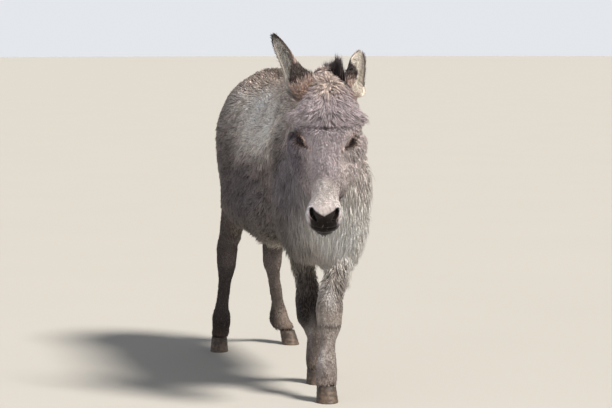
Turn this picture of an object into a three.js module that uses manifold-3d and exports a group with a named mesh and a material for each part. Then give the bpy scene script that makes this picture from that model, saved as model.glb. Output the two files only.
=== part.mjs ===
// A donkey in its winter coat, life size, walking slowly with its head turned a little to its right.
// Millimetres. +Z is up, the animal faces -Y and its left side is +X. The hooves stand on z = 0.
//
// The flesh is one smooth field: bones and muscles are round shapes that melt into each other, and the
// zero of the field is the outline of the coat. Each part is skinned from that field on a grid of its own,
// and thin cuts divide the parts where a person would name them.

import * as THREE from 'three';
import { mergeVertices } from 'three/addons/utils/BufferGeometryUtils.js';
import { ParametricGeometry } from 'three/addons/geometries/ParametricGeometry.js';
import Module from 'manifold-3d';

const wasm = await Module();
wasm.setup();

// ---- Driving dimensions -------------------------------------------------------------------------------

const withersHeight = 1130;
const croupHeight = 1140;
const bellyHeight = 498;
const breastFront = -545;
const rumpBack = 640;
const tailEnd = 456;
const barrelHalfWidth = 216;
const shoulderHalfWidth = 182;
const haunchHalfWidth = 216;
const headLength = 534;
const headPitch = 9; // degrees that the muzzle is forward of hanging straight down
const headYaw = 16; // degrees to the animal's right
const headRoll = 1.5; // degrees that the poll leans to the animal's left
const earLength = 256;
const earHalfWidth = 58;
const earWall = 7;
const eyeRadius = 21;
const hoofHeight = 58;
const cutGap = 0.4; // between parts that touch
const elbowCutHeight = 490; // where the forelegs leave the long hair of the chest
const haunchCutTilt = THREE.MathUtils.degToRad(38); // the cut rises from the flank to the buttock
const facets = { // grid cells across, along and up
  trunk: [58, 74, 56], neck: [52, 52, 54], head: [20, 23, 30], foreUpper: [31, 31, 50],
  hindUpper: [46, 46, 48], lower: [21, 23, 37],
};

// ---- Landmarks ----------------------------------------------------------------------------------------

const poll = [-71, -722, withersHeight + 3];
const legs = {
  foreleg_left: {
    elbow: [98, -372, 620], knee: [-14, -515, 290], fetlock: [-34, -560, 110],
    coronet: [-38, -566, hoofHeight], hoofAt: [-38, -580], toeOut: -4,
  },
  foreleg_right: {
    elbow: [-88, -345, 612], knee: [-24, -250, 286], fetlock: [20, -196, 110],
    coronet: [20, -196, hoofHeight], hoofAt: [19, -208], toeOut: 6,
  },
  hindleg_left: {
    hip: [136, 420, 880], stifle: [138, 392, 650], hock: [54, 672, 398], fetlock: [104, 768, 104],
    coronet: [128, 738, hoofHeight], hoofAt: [141, 718], toeOut: 32,
  },
  hindleg_right: {
    hip: [-136, 410, 880], stifle: [-150, 340, 640], hock: [-150, 612, 396], fetlock: [-166, 638, 122],
    coronet: [-176, 618, hoofHeight], hoofAt: [-182, 606], toeOut: 12,
  },
};

// ---- Round shapes, as signed distances (negative inside) ----------------------------------------------

const clamp01 = (t) => Math.min(1, Math.max(0, t));
const smoothstep = (low, high, t) => {
  const s = clamp01((t - low) / (high - low));
  return s * s * (3 - 2 * s);
};

// An ellipsoid at centre, with half sizes along x, y and z.
const mass = ([cx, cy, cz], [hx, hy, hz]) => (x, y, z) => {
  const u = x - cx;
  const v = y - cy;
  const w = z - cz;
  const scaled = Math.hypot(u / hx, v / hy, w / hz);
  const slope = Math.hypot(u / (hx * hx), v / (hy * hy), w / (hz * hz));
  return slope > 0 ? (scaled * (scaled - 1)) / slope : -Math.min(hx, hy, hz);
};

// A round bar from a to b that tapers from radius ra to rb. wide squeezes or widens it along x.
const limb = (a, b, ra, rb, wide = 1) => {
  const [lx, ly, lz] = [(b[0] - a[0]) / wide, b[1] - a[1], b[2] - a[2]];
  const length2 = lx * lx + ly * ly + lz * lz;
  return (x, y, z) => {
    const [u, v, w] = [(x - a[0]) / wide, y - a[1], z - a[2]];
    const t = clamp01((u * lx + v * ly + w * lz) / length2);
    return (Math.hypot(u - t * lx, v - t * ly, w - t * lz) - (ra + t * (rb - ra))) * Math.min(1, wide);
  };
};

// The smooth union of two distances, with a fillet about blend wide.
const meltTwo = (a, b, blend) => {
  const h = Math.max(blend - Math.abs(a - b), 0) / blend;
  return Math.min(a, b) - (h * h * blend) / 4;
};
const melt = (blend, ...shapes) => (x, y, z) => {
  let d = shapes[0](x, y, z);
  for (let i = 1; i < shapes.length; i++) d = meltTwo(d, shapes[i](x, y, z), blend);
  return d;
};
const carve = (blend, shape, ...tools) => (x, y, z) => {
  let d = -shape(x, y, z);
  for (const tool of tools) d = meltTwo(d, tool(x, y, z), blend);
  return -d;
};
const paired = (shape) => (x, y, z) => shape(Math.abs(x), y, z);
const placed = (matrix, shape) => {
  const m = matrix.clone().invert().elements;
  return (x, y, z) => shape(
    m[0] * x + m[4] * y + m[8] * z + m[12],
    m[1] * x + m[5] * y + m[9] * z + m[13],
    m[2] * x + m[6] * y + m[10] * z + m[14],
  );
};

// ---- The animal ---------------------------------------------------------------------------------------

function trunkField() {
  const middle = melt(
    90,
    mass([0, -60, 825], [shoulderHalfWidth + 12, 430, 262]), // ribcage
    mass([0, 110, bellyHeight + 262], [barrelHalfWidth, 330, 262]), // belly
    limb([0, -330, withersHeight - 75], [0, -170, withersHeight - 82], 74, 80, 0.9), // withers
    limb([0, -170, withersHeight - 108], [0, 380, croupHeight - 112], 95, 105), // back
    mass([0, 405, croupHeight - 196], [haunchHalfWidth - 28, 225, 190]), // croup
    mass([-6, breastFront + 125, 745], [112, 125, 165]), // breast
    mass([0, breastFront + 150, 600], [142, 138, 124]), // long hair under the breast
    paired(limb([102, -150, 616], [98, 300, 622], 108, 104)), // hair along the sides of the belly
  );
  const sides = paired(melt(
    70,
    limb([84, -300, 990], [80, -415, 730], 74, 78, 0.8), // shoulder
    mass([haunchHalfWidth - 94, 405, 850], [90, 180, 225]), // haunch
    mass([82, rumpBack - 95, 850], [85, 92, 150]), // buttock
  ));
  return melt(70, middle, sides);
}

function neckField() {
  const [px, py, pz] = poll;
  return melt(
    80,
    limb([0, -330, 985], [px + 4, py + 60, pz - 95], 118, 84, 0.85), // crest
    limb([-8, -390, 850], [px, py + 85, pz - 200], 152, 104, 0.8), // throat side
    limb([-10, breastFront + 150, 690], [px + 10, py + 110, pz - 300], 114, 76, 0.9), // hair of the throat
  );
}

// The head hangs straight down in a frame of its own: origin at the poll, face towards -Y.
const headMatrix = new THREE.Matrix4()
  .makeTranslation(...poll)
  .multiply(new THREE.Matrix4().makeRotationZ(THREE.MathUtils.degToRad(-headYaw)))
  .multiply(new THREE.Matrix4().makeRotationY(THREE.MathUtils.degToRad(headRoll)))
  .multiply(new THREE.Matrix4().makeRotationX(THREE.MathUtils.degToRad(-headPitch)));
const eyeAt = [75, -40, -216];

function headShape() {
  const lips = -headLength;
  const solid = melt(
    34,
    mass([0, 25, -78], [98, 95, 92]), // cranium
    mass([-16, 26, 2], [44, 44, 46]), // loose hair at the poll
    mass([0, -30, -132], [138, 62, 66]), // fringe over the brow
    limb([0, -28, -180], [0, -34, lips + 105], 74, 43, 0.95), // bridge of the nose
    paired(mass([84, -24, -214], [30, 36, 36])), // rim of the eye socket
    paired(limb([78, 42, -212], [50, 26, -348], 62, 41, 0.88)), // cheeks
    limb([0, 66, -200], [0, 18, lips + 90], 72, 34, 0.9), // jaw
    mass([0, -18, lips + 62], [56, 56, 58]), // muzzle
    paired(mass([34, -42, lips + 78], [25, 25, 32])), // nostril wings
    mass([0, 14, lips + 36], [33, 36, 32]), // chin
  );
  return carve(
    9,
    solid,
    paired(mass([96, -60, -216], [21, 21, 17])), // around the eyes
    paired(mass([41, -70, lips + 78], [9, 15, 19])), // nostrils
    mass([0, -16, lips + 8], [60, 70, 4]), // mouth
  );
}

function forelegField({ elbow, knee, fetlock, coronet }) {
  const above = (p, dz, dy = 0) => [p[0], p[1] + dy, p[2] + dz];
  const shoulderSide = Math.sign(elbow[0]) * 30;
  return melt(
    26,
    limb([elbow[0] + shoulderSide, elbow[1] - 10, elbow[2] + 150], above(elbow, 0), 80, 70, 0.8),
    limb(elbow, above(knee, 60), 68, 46, 0.95), // forearm
    limb(above(knee, 26), above(knee, -22), 49, 46), // knee
    limb(above(knee, -40), above(fetlock, 34), 30, 29), // cannon
    limb(above(fetlock, 12, 4), above(fetlock, -6, 6), 38, 37), // fetlock
    limb(above(fetlock, -8), above(coronet, 12), 30, 32), // pastern
    mass(above(coronet, 2), [38, 40, 15]), // coronet
  );
}

function hindlegField({ hip, stifle, hock, fetlock, coronet }) {
  const above = (p, dz, dy = 0) => [p[0], p[1] + dy, p[2] + dz];
  return melt(
    28,
    limb(hip, stifle, 128, 92, 0.7), // thigh
    limb([hip[0], hip[1] + 90, hip[2] - 60], above(hock, 130, -46), 95, 48, 0.7), // back of the thigh
    limb(stifle, above(hock, 46, -26), 84, 47, 0.84), // gaskin
    limb(above(hock, 44, 32), above(hock, -36, -2), 34, 35), // hock and its point
    limb(above(hock, 12, -20), above(hock, -50, -6), 42, 33, 0.95),
    limb(above(hock, -60), above(fetlock, 36), 31, 30, 0.95), // cannon
    limb(above(fetlock, 12, 4), above(fetlock, -6, 6), 38, 37), // fetlock
    limb(above(fetlock, -8), above(coronet, 12), 30, 31), // pastern
    mass(above(coronet, 2), [36, 38, 15]), // coronet
  );
}

const legFields = Object.fromEntries(Object.entries(legs).map(([name, leg]) => [
  name, leg.elbow ? forelegField(leg) : hindlegField(leg),
]));
const trunkAndNeck = melt(90, trunkField(), neckField());
const torso = melt(30, trunkAndNeck, placed(headMatrix, headShape()));
const flesh = melt(44, torso, ...Object.values(legFields));

// ---- From fields and surfaces to solids ---------------------------------------------------------------

// Surface nets: one vertex in each grid cell that the surface crosses, drawn onto the surface, and one
// quad round each grid edge that it crosses. Outside the box counts as outside the flesh.
function skinned(field, low, high, cell) {
  const n = low.map((l, i) => Math.ceil((high[i] - l) / cell[i]) + 3);
  const step = low.map((l, i) => (high[i] - l) / (n[i] - 3));
  const place = (i, axis) => low[axis] + (i - 1) * step[axis];
  const boxed = (x, y, z) => Math.max(
    field(x, y, z), low[0] - x, x - high[0], low[1] - y, y - high[1], low[2] - z, z - high[2],
  );
  const index = (i, j, k) => i + n[0] * (j + n[1] * k);
  const values = new Float64Array(n[0] * n[1] * n[2]);
  for (let k = 0; k < n[2]; k++) {
    for (let j = 0; j < n[1]; j++) {
      for (let i = 0; i < n[0]; i++) {
        values[index(i, j, k)] = boxed(place(i, 0), place(j, 1), place(k, 2)) || 1e-6;
      }
    }
  }
  settleChequers(values, n, index);
  const vertices = [];
  const cellVertex = new Map();
  const corner = [0, 1, 2, 3, 4, 5, 6, 7].map((c) => [c & 1, (c >> 1) & 1, (c >> 2) & 1]);
  for (let k = 0; k < n[2] - 1; k++) {
    for (let j = 0; j < n[1] - 1; j++) {
      for (let i = 0; i < n[0] - 1; i++) {
        const d = corner.map(([a, b, c]) => values[index(i + a, j + b, k + c)]);
        if (d.every((v) => v > 0) || d.every((v) => v < 0)) continue;
        const sum = [0, 0, 0];
        let crossings = 0;
        for (let c = 0; c < 8; c++) {
          for (let axis = 0; axis < 3; axis++) {
            const e = c | (1 << axis);
            if (e === c || d[c] > 0 === d[e] > 0) continue;
            const t = d[c] / (d[c] - d[e]);
            corner[c].forEach((v, a) => { sum[a] += v + (a === axis ? t : 0); });
            crossings++;
          }
        }
        const p = sum.map((s, a) => place([i, j, k][a] + s / crossings, a));
        cellVertex.set(index(i, j, k), vertices.length / 3);
        vertices.push(...drawnOnto(boxed, p, step));
      }
    }
  }
  const triangles = [];
  for (let k = 1; k < n[2] - 1; k++) {
    for (let j = 1; j < n[1] - 1; j++) {
      for (let i = 1; i < n[0] - 1; i++) {
        const here = values[index(i, j, k)];
        for (let axis = 0; axis < 3; axis++) {
          const next = [i, j, k];
          next[axis]++;
          if (here > 0 === values[index(...next)] > 0) continue;
          const round = [[0, 0], [1, 0], [1, 1], [0, 1]].map(([p, q]) => {
            const at = [i, j, k];
            at[(axis + 1) % 3] -= p;
            at[(axis + 2) % 3] -= q;
            return cellVertex.get(index(...at));
          });
          if (here > 0) round.reverse();
          const [a, b, c, d] = round;
          triangles.push(a, b, c, a, c, d);
        }
      }
    }
  }
  return solidFrom(new Float32Array(vertices), new Uint32Array(triangles));
}

// Four corners of a grid square that are in and out by turns would give one edge to four triangles, so the
// weakest corner changes side.
function settleChequers(values, n, index) {
  const square = [[0, 0], [1, 0], [1, 1], [0, 1]];
  for (let settled = false; !settled;) {
    settled = true;
    for (let cell = 0; cell < values.length; cell++) {
      const at = [cell % n[0], Math.floor(cell / n[0]) % n[1], Math.floor(cell / (n[0] * n[1]))];
      if (at.some((c, axis) => c === n[axis] - 1)) continue;
      for (let axis = 0; axis < 3; axis++) {
        const corners = square.map(([p, q]) => {
          const corner = [...at];
          corner[(axis + 1) % 3] += p;
          corner[(axis + 2) % 3] += q;
          return index(...corner);
        });
        const out = corners.map((c) => values[c] > 0);
        if (out[0] !== out[2] || out[1] !== out[3] || out[0] === out[1]) continue;
        values[corners.reduce((a, b) => (Math.abs(values[a]) < Math.abs(values[b]) ? a : b))] *= -1;
        settled = false;
      }
    }
  }
}

// Two Newton steps towards the surface, each no longer than a third of a cell.
function drawnOnto(field, point, step) {
  const p = [...point];
  const e = 0.5;
  const reach = Math.min(...step) / 3;
  for (let turn = 0; turn < 2; turn++) {
    const d = field(...p);
    const slope = [0, 1, 2].map((a) => {
      const q = [...p];
      q[a] += e;
      return (field(...q) - d) / e;
    });
    const length2 = slope.reduce((s, v) => s + v * v, 0) || 1;
    const move = Math.min(reach, Math.max(-reach, -d)) / Math.sqrt(length2);
    slope.forEach((s, a) => { p[a] += (move * s) / Math.sqrt(length2); });
  }
  return p;
}

const solidFrom = (vertProperties, triVerts) => new wasm.Manifold(
  new wasm.Mesh({ numProp: 3, vertProperties, triVerts }),
);

function solidOf(geometry, matrix = new THREE.Matrix4()) {
  const bare = geometry.clone().applyMatrix4(matrix);
  bare.deleteAttribute('normal');
  bare.deleteAttribute('uv');
  const merged = mergeVertices(bare, 1e-3);
  const corners = merged.index.array;
  const whole = [];
  for (let i = 0; i < corners.length; i += 3) {
    const [a, b, c] = [corners[i], corners[i + 1], corners[i + 2]];
    if (a !== b && b !== c && c !== a) whole.push(a, b, c);
  }
  const solid = solidFrom(merged.attributes.position.array, new Uint32Array(whole));
  if (solid.volume() > 0) return solid;
  return solidFrom(merged.attributes.position.array, new Uint32Array(whole.reverse()));
}

// A closed body swept along a line: section(angle, t) gives [across, up] at share t of the way along.
function swept(lineAt, section, around, along) {
  const surface = (u, v, target) => {
    const t = v <= 0 ? 0 : v >= 1 ? 1 : (v * along - 1) / (along - 2);
    const { at, across, up } = lineAt(clamp01(t));
    const [a, b] = v <= 0 || v >= 1 ? [0, 0] : section((u % 1) * 2 * Math.PI, clamp01(t));
    target.copy(at).addScaledVector(across, a).addScaledVector(up, b);
  };
  return new ParametricGeometry(surface, around, along);
}

const vector = (p) => new THREE.Vector3(...p);

// ---- Hooves, eyes, ears, hair -------------------------------------------------------------------------

// A hoof: a rounded wall that leans back from the toe, flat underneath.
function hoofSolid({ hoofAt, toeOut }, halfWidth, side) {
  const heading = THREE.MathUtils.degToRad(toeOut) * side;
  const lean = 20;
  const wall = (u, v, target) => {
    const angle = (u % 1) * 2 * Math.PI;
    const t = clamp01(v * 2 - 0.5);
    const spread = v <= 0 || v >= 1 ? 0 : 1; // the middle of the sole and of the top
    const grow = (1 - 0.14 * t) * spread;
    const heel = Math.sin(angle) > 0 ? 0.9 : 1.12;
    target.set(
      Math.cos(angle) * halfWidth * grow * (1 - 0.08 * Math.max(0, Math.sin(angle))),
      Math.sin(angle) * halfWidth * heel * grow + lean * t,
      t * (hoofHeight - cutGap),
    );
  };
  const place = new THREE.Matrix4().makeTranslation(hoofAt[0], hoofAt[1], 0)
    .multiply(new THREE.Matrix4().makeRotationZ(heading));
  return solidOf(new ParametricGeometry(wall, 18, 4), place);
}

const eyeSolid = (side, radius) => solidOf(
  new THREE.SphereGeometry(radius, 10, 6),
  headMatrix.clone().multiply(new THREE.Matrix4().makeTranslation(side * eyeAt[0], eyeAt[1], eyeAt[2])),
);

// An ear: a leaf rolled into a cup about its own axis. opening is where the cup faces at its tip, and roll is how many
// degrees it is turned away from that at its root.
function earSolid({ root, tip, opening, roll }) {
  const from = vector(root);
  const axis = vector(tip).sub(from).normalize();
  const face = vector(opening);
  face.addScaledVector(axis, -face.dot(axis)).normalize();
  const across = new THREE.Vector3().crossVectors(axis, face);
  const leaf = (t) => Math.max(0, Math.sin(Math.PI * Math.pow(t, 0.8))); // narrow at both ends
  const halfWidth = (t) => earHalfWidth * Math.pow(leaf(t), 0.55) * (1 - 0.34 * t) + 1.5;
  const wrap = (t) => THREE.MathUtils.lerp(2.35, 1.15, smoothstep(0, 0.7, t)); // half angle of the roll
  const section = (angle, t) => {
    const turn = angle / Math.PI; // 0..2, out along the back and home inside the cup
    const inside = turn > 1;
    const share = inside ? 3 - 2 * turn : 2 * turn - 1; // -1..1 across the leaf
    const phi = share * wrap(t);
    const radius = (halfWidth(t) / Math.sin(Math.min(wrap(t), Math.PI / 2)));
    const rim = 1 - 0.75 * Math.pow(Math.abs(share), 6);
    const r = radius - (inside ? Math.min(earWall, radius * 0.5) * rim : 0);
    return [Math.sin(phi) * r, radius * 0.55 - Math.cos(phi) * r];
  };
  const lineAt = (t) => {
    const angle = THREE.MathUtils.degToRad(roll) * (1 - smoothstep(0.2, 1, t));
    return {
      at: from.clone().addScaledVector(axis, t * earLength),
      across: across.clone().applyAxisAngle(axis, angle),
      up: face.clone().applyAxisAngle(axis, angle),
    };
  };
  return solidOf(swept(lineAt, section, 20, 10));
}

const inHead = (x, y, z) => new THREE.Vector3(x, y, z).applyMatrix4(headMatrix).toArray();
const directionInHead = (x, y, z) => new THREE.Vector3(x, y, z).transformDirection(headMatrix).toArray();
const ears = {
  ear_left: {
    root: [3, -674, 1062], tip: [104, -502, 1226], opening: directionInHead(0.48, -0.72, 0.5), roll: 46,
  },
  ear_right: {
    root: [-128, -694, 1072], tip: [-236, -606, 1284], opening: directionInHead(-0.7, -0.7, -0.1), roll: -36,
  },
};

// The upright mane, a blade of hair from the withers to between the ears.
function maneSolid() {
  const crest = new THREE.CatmullRomCurve3([
    vector([0, -285, withersHeight - 38]), vector([-4, -400, withersHeight - 12]),
    vector([-16, -520, withersHeight + 2]), vector([poll[0] + 30, poll[1] + 80, poll[2]]),
    vector([poll[0] + 27, poll[1] + 10, poll[2] + 2]),
  ]);
  const lineAt = (t) => ({
    at: crest.getPoint(t), across: new THREE.Vector3(1, 0, 0), up: new THREE.Vector3(0, 0, 1),
  });
  const height = (t) => 26 + 38 * smoothstep(0, 0.35, t) + 14 * smoothstep(0.8, 1, t);
  const section = (angle, t) => {
    const up = Math.sin(angle);
    return [Math.cos(angle) * (17 - 9 * Math.max(0, up)), up > 0 ? up * height(t) : up * 40];
  };
  return solidOf(swept(lineAt, section, 8, 12));
}

// The tail hangs close behind the buttocks and ends in a switch of long hair.
function tailSolid() {
  const curve = new THREE.CatmullRomCurve3([
    vector([0, rumpBack - 75, croupHeight - 95]), vector([0, rumpBack + 2, croupHeight - 150]),
    vector([0, rumpBack + 34, croupHeight - 280]), vector([2, rumpBack + 40, tailEnd + 260]),
    vector([-2, rumpBack + 36, tailEnd]),
  ]);
  const dock = (t) => 34 - 14 * smoothstep(0, 0.5, t);
  const radius = (t) => dock(t) + 24 * smoothstep(0.45, 0.75, t) - 30 * smoothstep(0.8, 1, t);
  const lineAt = (t) => {
    const along = curve.getTangent(t);
    const across = new THREE.Vector3(1, 0, 0);
    return { at: curve.getPoint(t), across, up: new THREE.Vector3().crossVectors(along, across).normalize() };
  };
  const section = (angle, t) => [Math.cos(angle) * radius(t), Math.sin(angle) * radius(t) * 0.85];
  return solidOf(swept(lineAt, section, 8, 13));
}

// ---- Thin cuts between the parts of the flesh ---------------------------------------------------------

// A cutting plane through a point, with its normal towards the side that is kept.
const keepBeyond = (solid, point, normal, gap = 0) => {
  const n = vector(normal).normalize();
  return solid.trimByPlane(n.toArray(), n.dot(vector(point)) + gap);
};
const opposite = (v) => v.map((c) => -c);

const neckCut = { at: [0, -425, 900], normal: [0, -1, -0.12] }; // towards the head
const headCut = { at: inHead(0, 96, -150), normal: directionInHead(0, -1, -0.32) };

// Each cut is a point on the plane and the normal that points up the body, away from the hooves or muzzle.
const upward = [0, 0, 1];
const foreCut = { at: [0, 0, elbowCutHeight], normal: upward };
const haunchCut = { at: [0, 200, 520], normal: [0, -Math.sin(haunchCutTilt), Math.cos(haunchCutTilt)] };
const betweenForelegs = { at: [-6, -372, 0], normal: [0.5, -0.86, 0] };
const betweenHindlegs = { at: [-20, 0, 0], normal: [1, 0, 0] };
const largest = (solid) => solid.decompose().sort((a, b) => b.volume() - a.volume())[0];

function legParts(name) {
  const leg = legs[name];
  const fore = Boolean(leg.knee);
  const joint = leg.knee || leg.hock;
  const points = Object.values(leg).filter(Array.isArray);
  const spread = fore ? 75 : 130;
  const [west, south] = [0, 1].map((axis) => Math.min(...points.map((p) => p[axis])) - spread);
  const [east, north] = [0, 1].map((axis) => Math.max(...points.map((p) => p[axis])) + spread);
  const field = melt(44, torso, legFields[name]);
  const split = joint[2] + (fore ? 46 : 78);
  const cut = fore ? foreCut : haunchCut;
  const between = fore ? betweenForelegs : betweenHindlegs;
  const ownSide = name.endsWith('left') ? between.normal : opposite(between.normal);
  const length = (bottom, top, cell) => {
    let solid = skinned(field, [west, south, bottom - cell[2]], [east, north, top + cell[2]], cell);
    solid = keepBeyond(solid, [0, 0, bottom], upward);
    solid = keepBeyond(solid, [0, 0, top], opposite(upward));
    solid = keepBeyond(solid, cut.at, opposite(cut.normal), cutGap / 2);
    return largest(keepBeyond(solid, between.at, ownSide, cutGap / 2));
  };
  const upperTop = fore ? elbowCutHeight : 960;
  return {
    [`${name}_upper`]: length(split + cutGap / 2, upperTop, fore ? facets.foreUpper : facets.hindUpper),
    [`${name}_lower`]: length(hoofHeight, split - cutGap / 2, facets.lower),
  };
}

function trunkPart() {
  let solid = skinned(flesh, [-300, -700, 430], [300, 720, 1200], facets.trunk);
  solid = keepBeyond(solid, neckCut.at, opposite(neckCut.normal), cutGap / 2);
  solid = keepBeyond(solid, haunchCut.at, haunchCut.normal, cutGap / 2);
  return largest(keepBeyond(solid, foreCut.at, foreCut.normal, cutGap / 2));
}

function neckPart() {
  let solid = skinned(flesh, [-260, -880, 460], [260, -340, 1200], facets.neck);
  solid = keepBeyond(solid, neckCut.at, neckCut.normal, cutGap / 2);
  solid = keepBeyond(solid, foreCut.at, foreCut.normal, cutGap / 2);
  return largest(keepBeyond(solid, headCut.at, opposite(headCut.normal), cutGap / 2));
}

function headPart() {
  const inOwnFrame = placed(headMatrix.clone().invert(), flesh);
  let solid = skinned(
    inOwnFrame, [-165, -130, -headLength - 30], [165, 190, 60], facets.head,
  ).transform(headMatrix.elements);
  solid = keepBeyond(solid, headCut.at, headCut.normal, cutGap / 2);
  for (const side of [-1, 1]) solid = solid.subtract(eyeSolid(side, eyeRadius + cutGap));
  return largest(solid);
}

// What sits on another part is cut by it, and by the same part moved a little towards it.
function seatedOn(solid, seat, direction) {
  const push = vector(direction).normalize().multiplyScalar(cutGap * 1.5);
  const cut = solid.subtract(seat).subtract(seat.translate(push.toArray()));
  return cut.decompose().sort((a, b) => b.volume() - a.volume())[0];
}

// ---- Assembly -----------------------------------------------------------------------------------------

const colours = {
  coat: 0x8d837f, paleCoat: 0xb9b1a8, leg: 0x857a76, darkHair: 0x3a2c28, hoof: 0x4a3c33, eye: 0x17110e,
};
const parts = { trunk: trunkPart(), neck: neckPart(), head: headPart() };
for (const name of Object.keys(legs)) Object.assign(parts, legParts(name));
for (const [name, leg] of Object.entries(legs)) {
  const side = name.endsWith('left') ? 1 : -1;
  parts[name.replace('leg', '_hoof')] = hoofSolid(leg, name.startsWith('fore') ? 39 : 36, side);
}
parts.eye_left = eyeSolid(1, eyeRadius);
parts.eye_right = eyeSolid(-1, eyeRadius);
for (const [name, ear] of Object.entries(ears)) {
  const outward = vector(ear.tip).sub(vector(ear.root)).toArray();
  parts[name] = seatedOn(earSolid(ear), parts.head, outward);
  parts[name] = seatedOn(parts[name], parts.neck, outward);
}
parts.mane = [parts.trunk, parts.neck, parts.head]
  .reduce((mane, seat) => seatedOn(mane, seat, upward), maneSolid());
parts.tail = seatedOn(tailSolid(), parts.trunk, [0, 1, 0]);

const look = (name) => {
  if (/hoof/.test(name)) return { color: colours.hoof, roughness: 0.7 };
  if (/eye/.test(name)) return { color: colours.eye, roughness: 0.1 };
  if (/mane|tail/.test(name)) return { color: colours.darkHair, roughness: 0.9 };
  if (/leg/.test(name)) return { color: colours.leg, roughness: 0.9 };
  return { color: /head|neck/.test(name) ? colours.paleCoat : colours.coat, roughness: 0.9 };
};

const donkey = new THREE.Group();
donkey.name = 'donkey';
for (const [name, solid] of Object.entries(parts)) {
  const mesh = solid.getMesh();
  const geometry = new THREE.BufferGeometry()
    .setAttribute('position', new THREE.BufferAttribute(mesh.vertProperties, 3))
    .setIndex(new THREE.BufferAttribute(mesh.triVerts, 1));
  geometry.computeVertexNormals();
  const part = new THREE.Mesh(geometry, new THREE.MeshStandardMaterial(look(name)));
  part.name = name;
  donkey.add(part);
}

// The origin is on the floor, under the middle of the whole.
const middle = new THREE.Box3().setFromObject(donkey).getCenter(new THREE.Vector3());
donkey.position.set(-middle.x, -middle.y, 0);

export default donkey;
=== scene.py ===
import math

import bmesh
import bpy
import numpy as np
from mathutils import Matrix, Vector, kdtree
from mathutils.bvhtree import BVHTree


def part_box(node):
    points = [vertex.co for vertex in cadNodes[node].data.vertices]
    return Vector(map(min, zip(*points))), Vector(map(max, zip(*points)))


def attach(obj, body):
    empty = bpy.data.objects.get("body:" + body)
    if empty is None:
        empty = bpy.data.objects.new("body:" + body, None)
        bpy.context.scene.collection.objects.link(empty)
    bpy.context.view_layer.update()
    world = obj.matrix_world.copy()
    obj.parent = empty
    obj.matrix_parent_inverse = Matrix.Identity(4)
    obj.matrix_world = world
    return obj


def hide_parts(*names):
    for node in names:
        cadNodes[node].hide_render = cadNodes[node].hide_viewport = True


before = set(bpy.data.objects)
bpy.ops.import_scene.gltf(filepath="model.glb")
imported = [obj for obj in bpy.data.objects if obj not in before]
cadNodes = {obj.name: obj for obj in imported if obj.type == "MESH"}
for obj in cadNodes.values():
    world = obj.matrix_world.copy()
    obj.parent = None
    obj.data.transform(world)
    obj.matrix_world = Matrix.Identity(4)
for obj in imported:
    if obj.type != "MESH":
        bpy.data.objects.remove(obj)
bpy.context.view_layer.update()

# A still model of a standing donkey in its winter coat, life size, in metres.
# It faces -Y, its left side is +X, and the floor is at z = 0.
millimetre = 0.001
random = np.random.default_rng(20)

# ---- Small helpers: colours, nodes, smooth steps and gentle noise


def srgb(hexCode):
    code = hexCode.lstrip("#")
    parts = [int(code[i:i + 2], 16) / 255 for i in (0, 2, 4)]
    return [p / 12.92 if p <= 0.04045 else ((p + 0.055) / 1.055) ** 2.4 for p in parts] + [1.0]


def addNode(tree, kind, settings=None, links=None):
    # settings go to the node's own property, or to its socket of that name or number
    node = tree.nodes.new(kind)
    for key, value in (settings or {}).items():
        if isinstance(key, str) and hasattr(node, key):
            setattr(node, key, value)
        else:
            node.inputs[key].default_value = value
    for socket, source in (links or {}).items():
        tree.links.new(source, node.inputs[socket])
    return node


def smoothStep(low, high, value):
    t = np.clip((value - low) / (high - low), 0.0, 1.0)
    return t * t * (3 - 2 * t)


def unit(vectors):
    return vectors / np.maximum(np.linalg.norm(vectors, axis=-1, keepdims=True), 1e-9)


def evenColour(code, count):
    return np.tile(srgb(code)[:3], (count, 1))


def blend(colour, code, mask):
    return colour * (1 - mask[:, None]) + np.array(srgb(code)[:3]) * mask[:, None]


def newMaterial(name, sockets):
    # sockets are the shader's own values, the same all over the surface
    material = bpy.data.materials.new(name)
    material.use_nodes = True
    shader = material.node_tree.nodes["Principled BSDF"]
    for socket, value in sockets.items():
        shader.inputs[socket].default_value = value
    return material, material.node_tree, shader


def meshFrom(bm, name):
    mesh = bpy.data.meshes.new(name)
    bm.to_mesh(mesh)
    bm.free()
    return mesh


def ripple(points, size, seed):
    # soft noise from -1 to 1 that changes over about size metres
    waves = np.random.default_rng(seed)
    total = np.zeros(len(points))
    for _ in range(7):
        heading = unit(waves.normal(size=3))
        wavelength = size * waves.uniform(0.7, 1.5)
        total += np.sin(points @ heading * 2 * math.pi / wavelength + waves.uniform(0, 6.28))
    return total / 3.2


# ---- Camera, lights and floor

view = {
    "place": (-1.783, -7.254, 1.300),
    "down": 4.972,  # degrees under level
    "turn": -14.0,  # degrees about Z
    "lens": 117.65,  # on a 36 mm sensor
}
studio = {
    "sunFrom": (0.42, -0.485, 0.766), "sunFar": 8.0, "sunSpread": 14.0, "sunPower": 5.6,
    "sunColour": "#fff7ec",
    "fillPlace": (-4.6, -4.4, 2.0), "fillSize": 4.0, "fillPower": 60.0, "fillColour": "#eef2ff",
    "sky": "#e9ecf1", "skyLow": 0.95, "skyHigh": 0.30,  # bright at the horizon, dimmer overhead
    "floor": "#b6b4af", "floorHalf": 90.0, "cloudSize": 0.9, "cloudTone": 0.96,
    "aim": (0.0, -0.2, 0.7),
}


def buildCamera(scene):
    scene.view_settings.view_transform = "Standard"
    lens = bpy.data.cameras.new("camera")
    lens.lens = view["lens"]
    lens.sensor_width = 36
    lens.clip_end = 100
    camera = bpy.data.objects.new("camera", lens)
    camera.location = view["place"]
    camera.rotation_euler = (math.radians(90 - view["down"]), 0, math.radians(view["turn"]))
    scene.collection.objects.link(camera)
    scene.camera = camera


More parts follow.
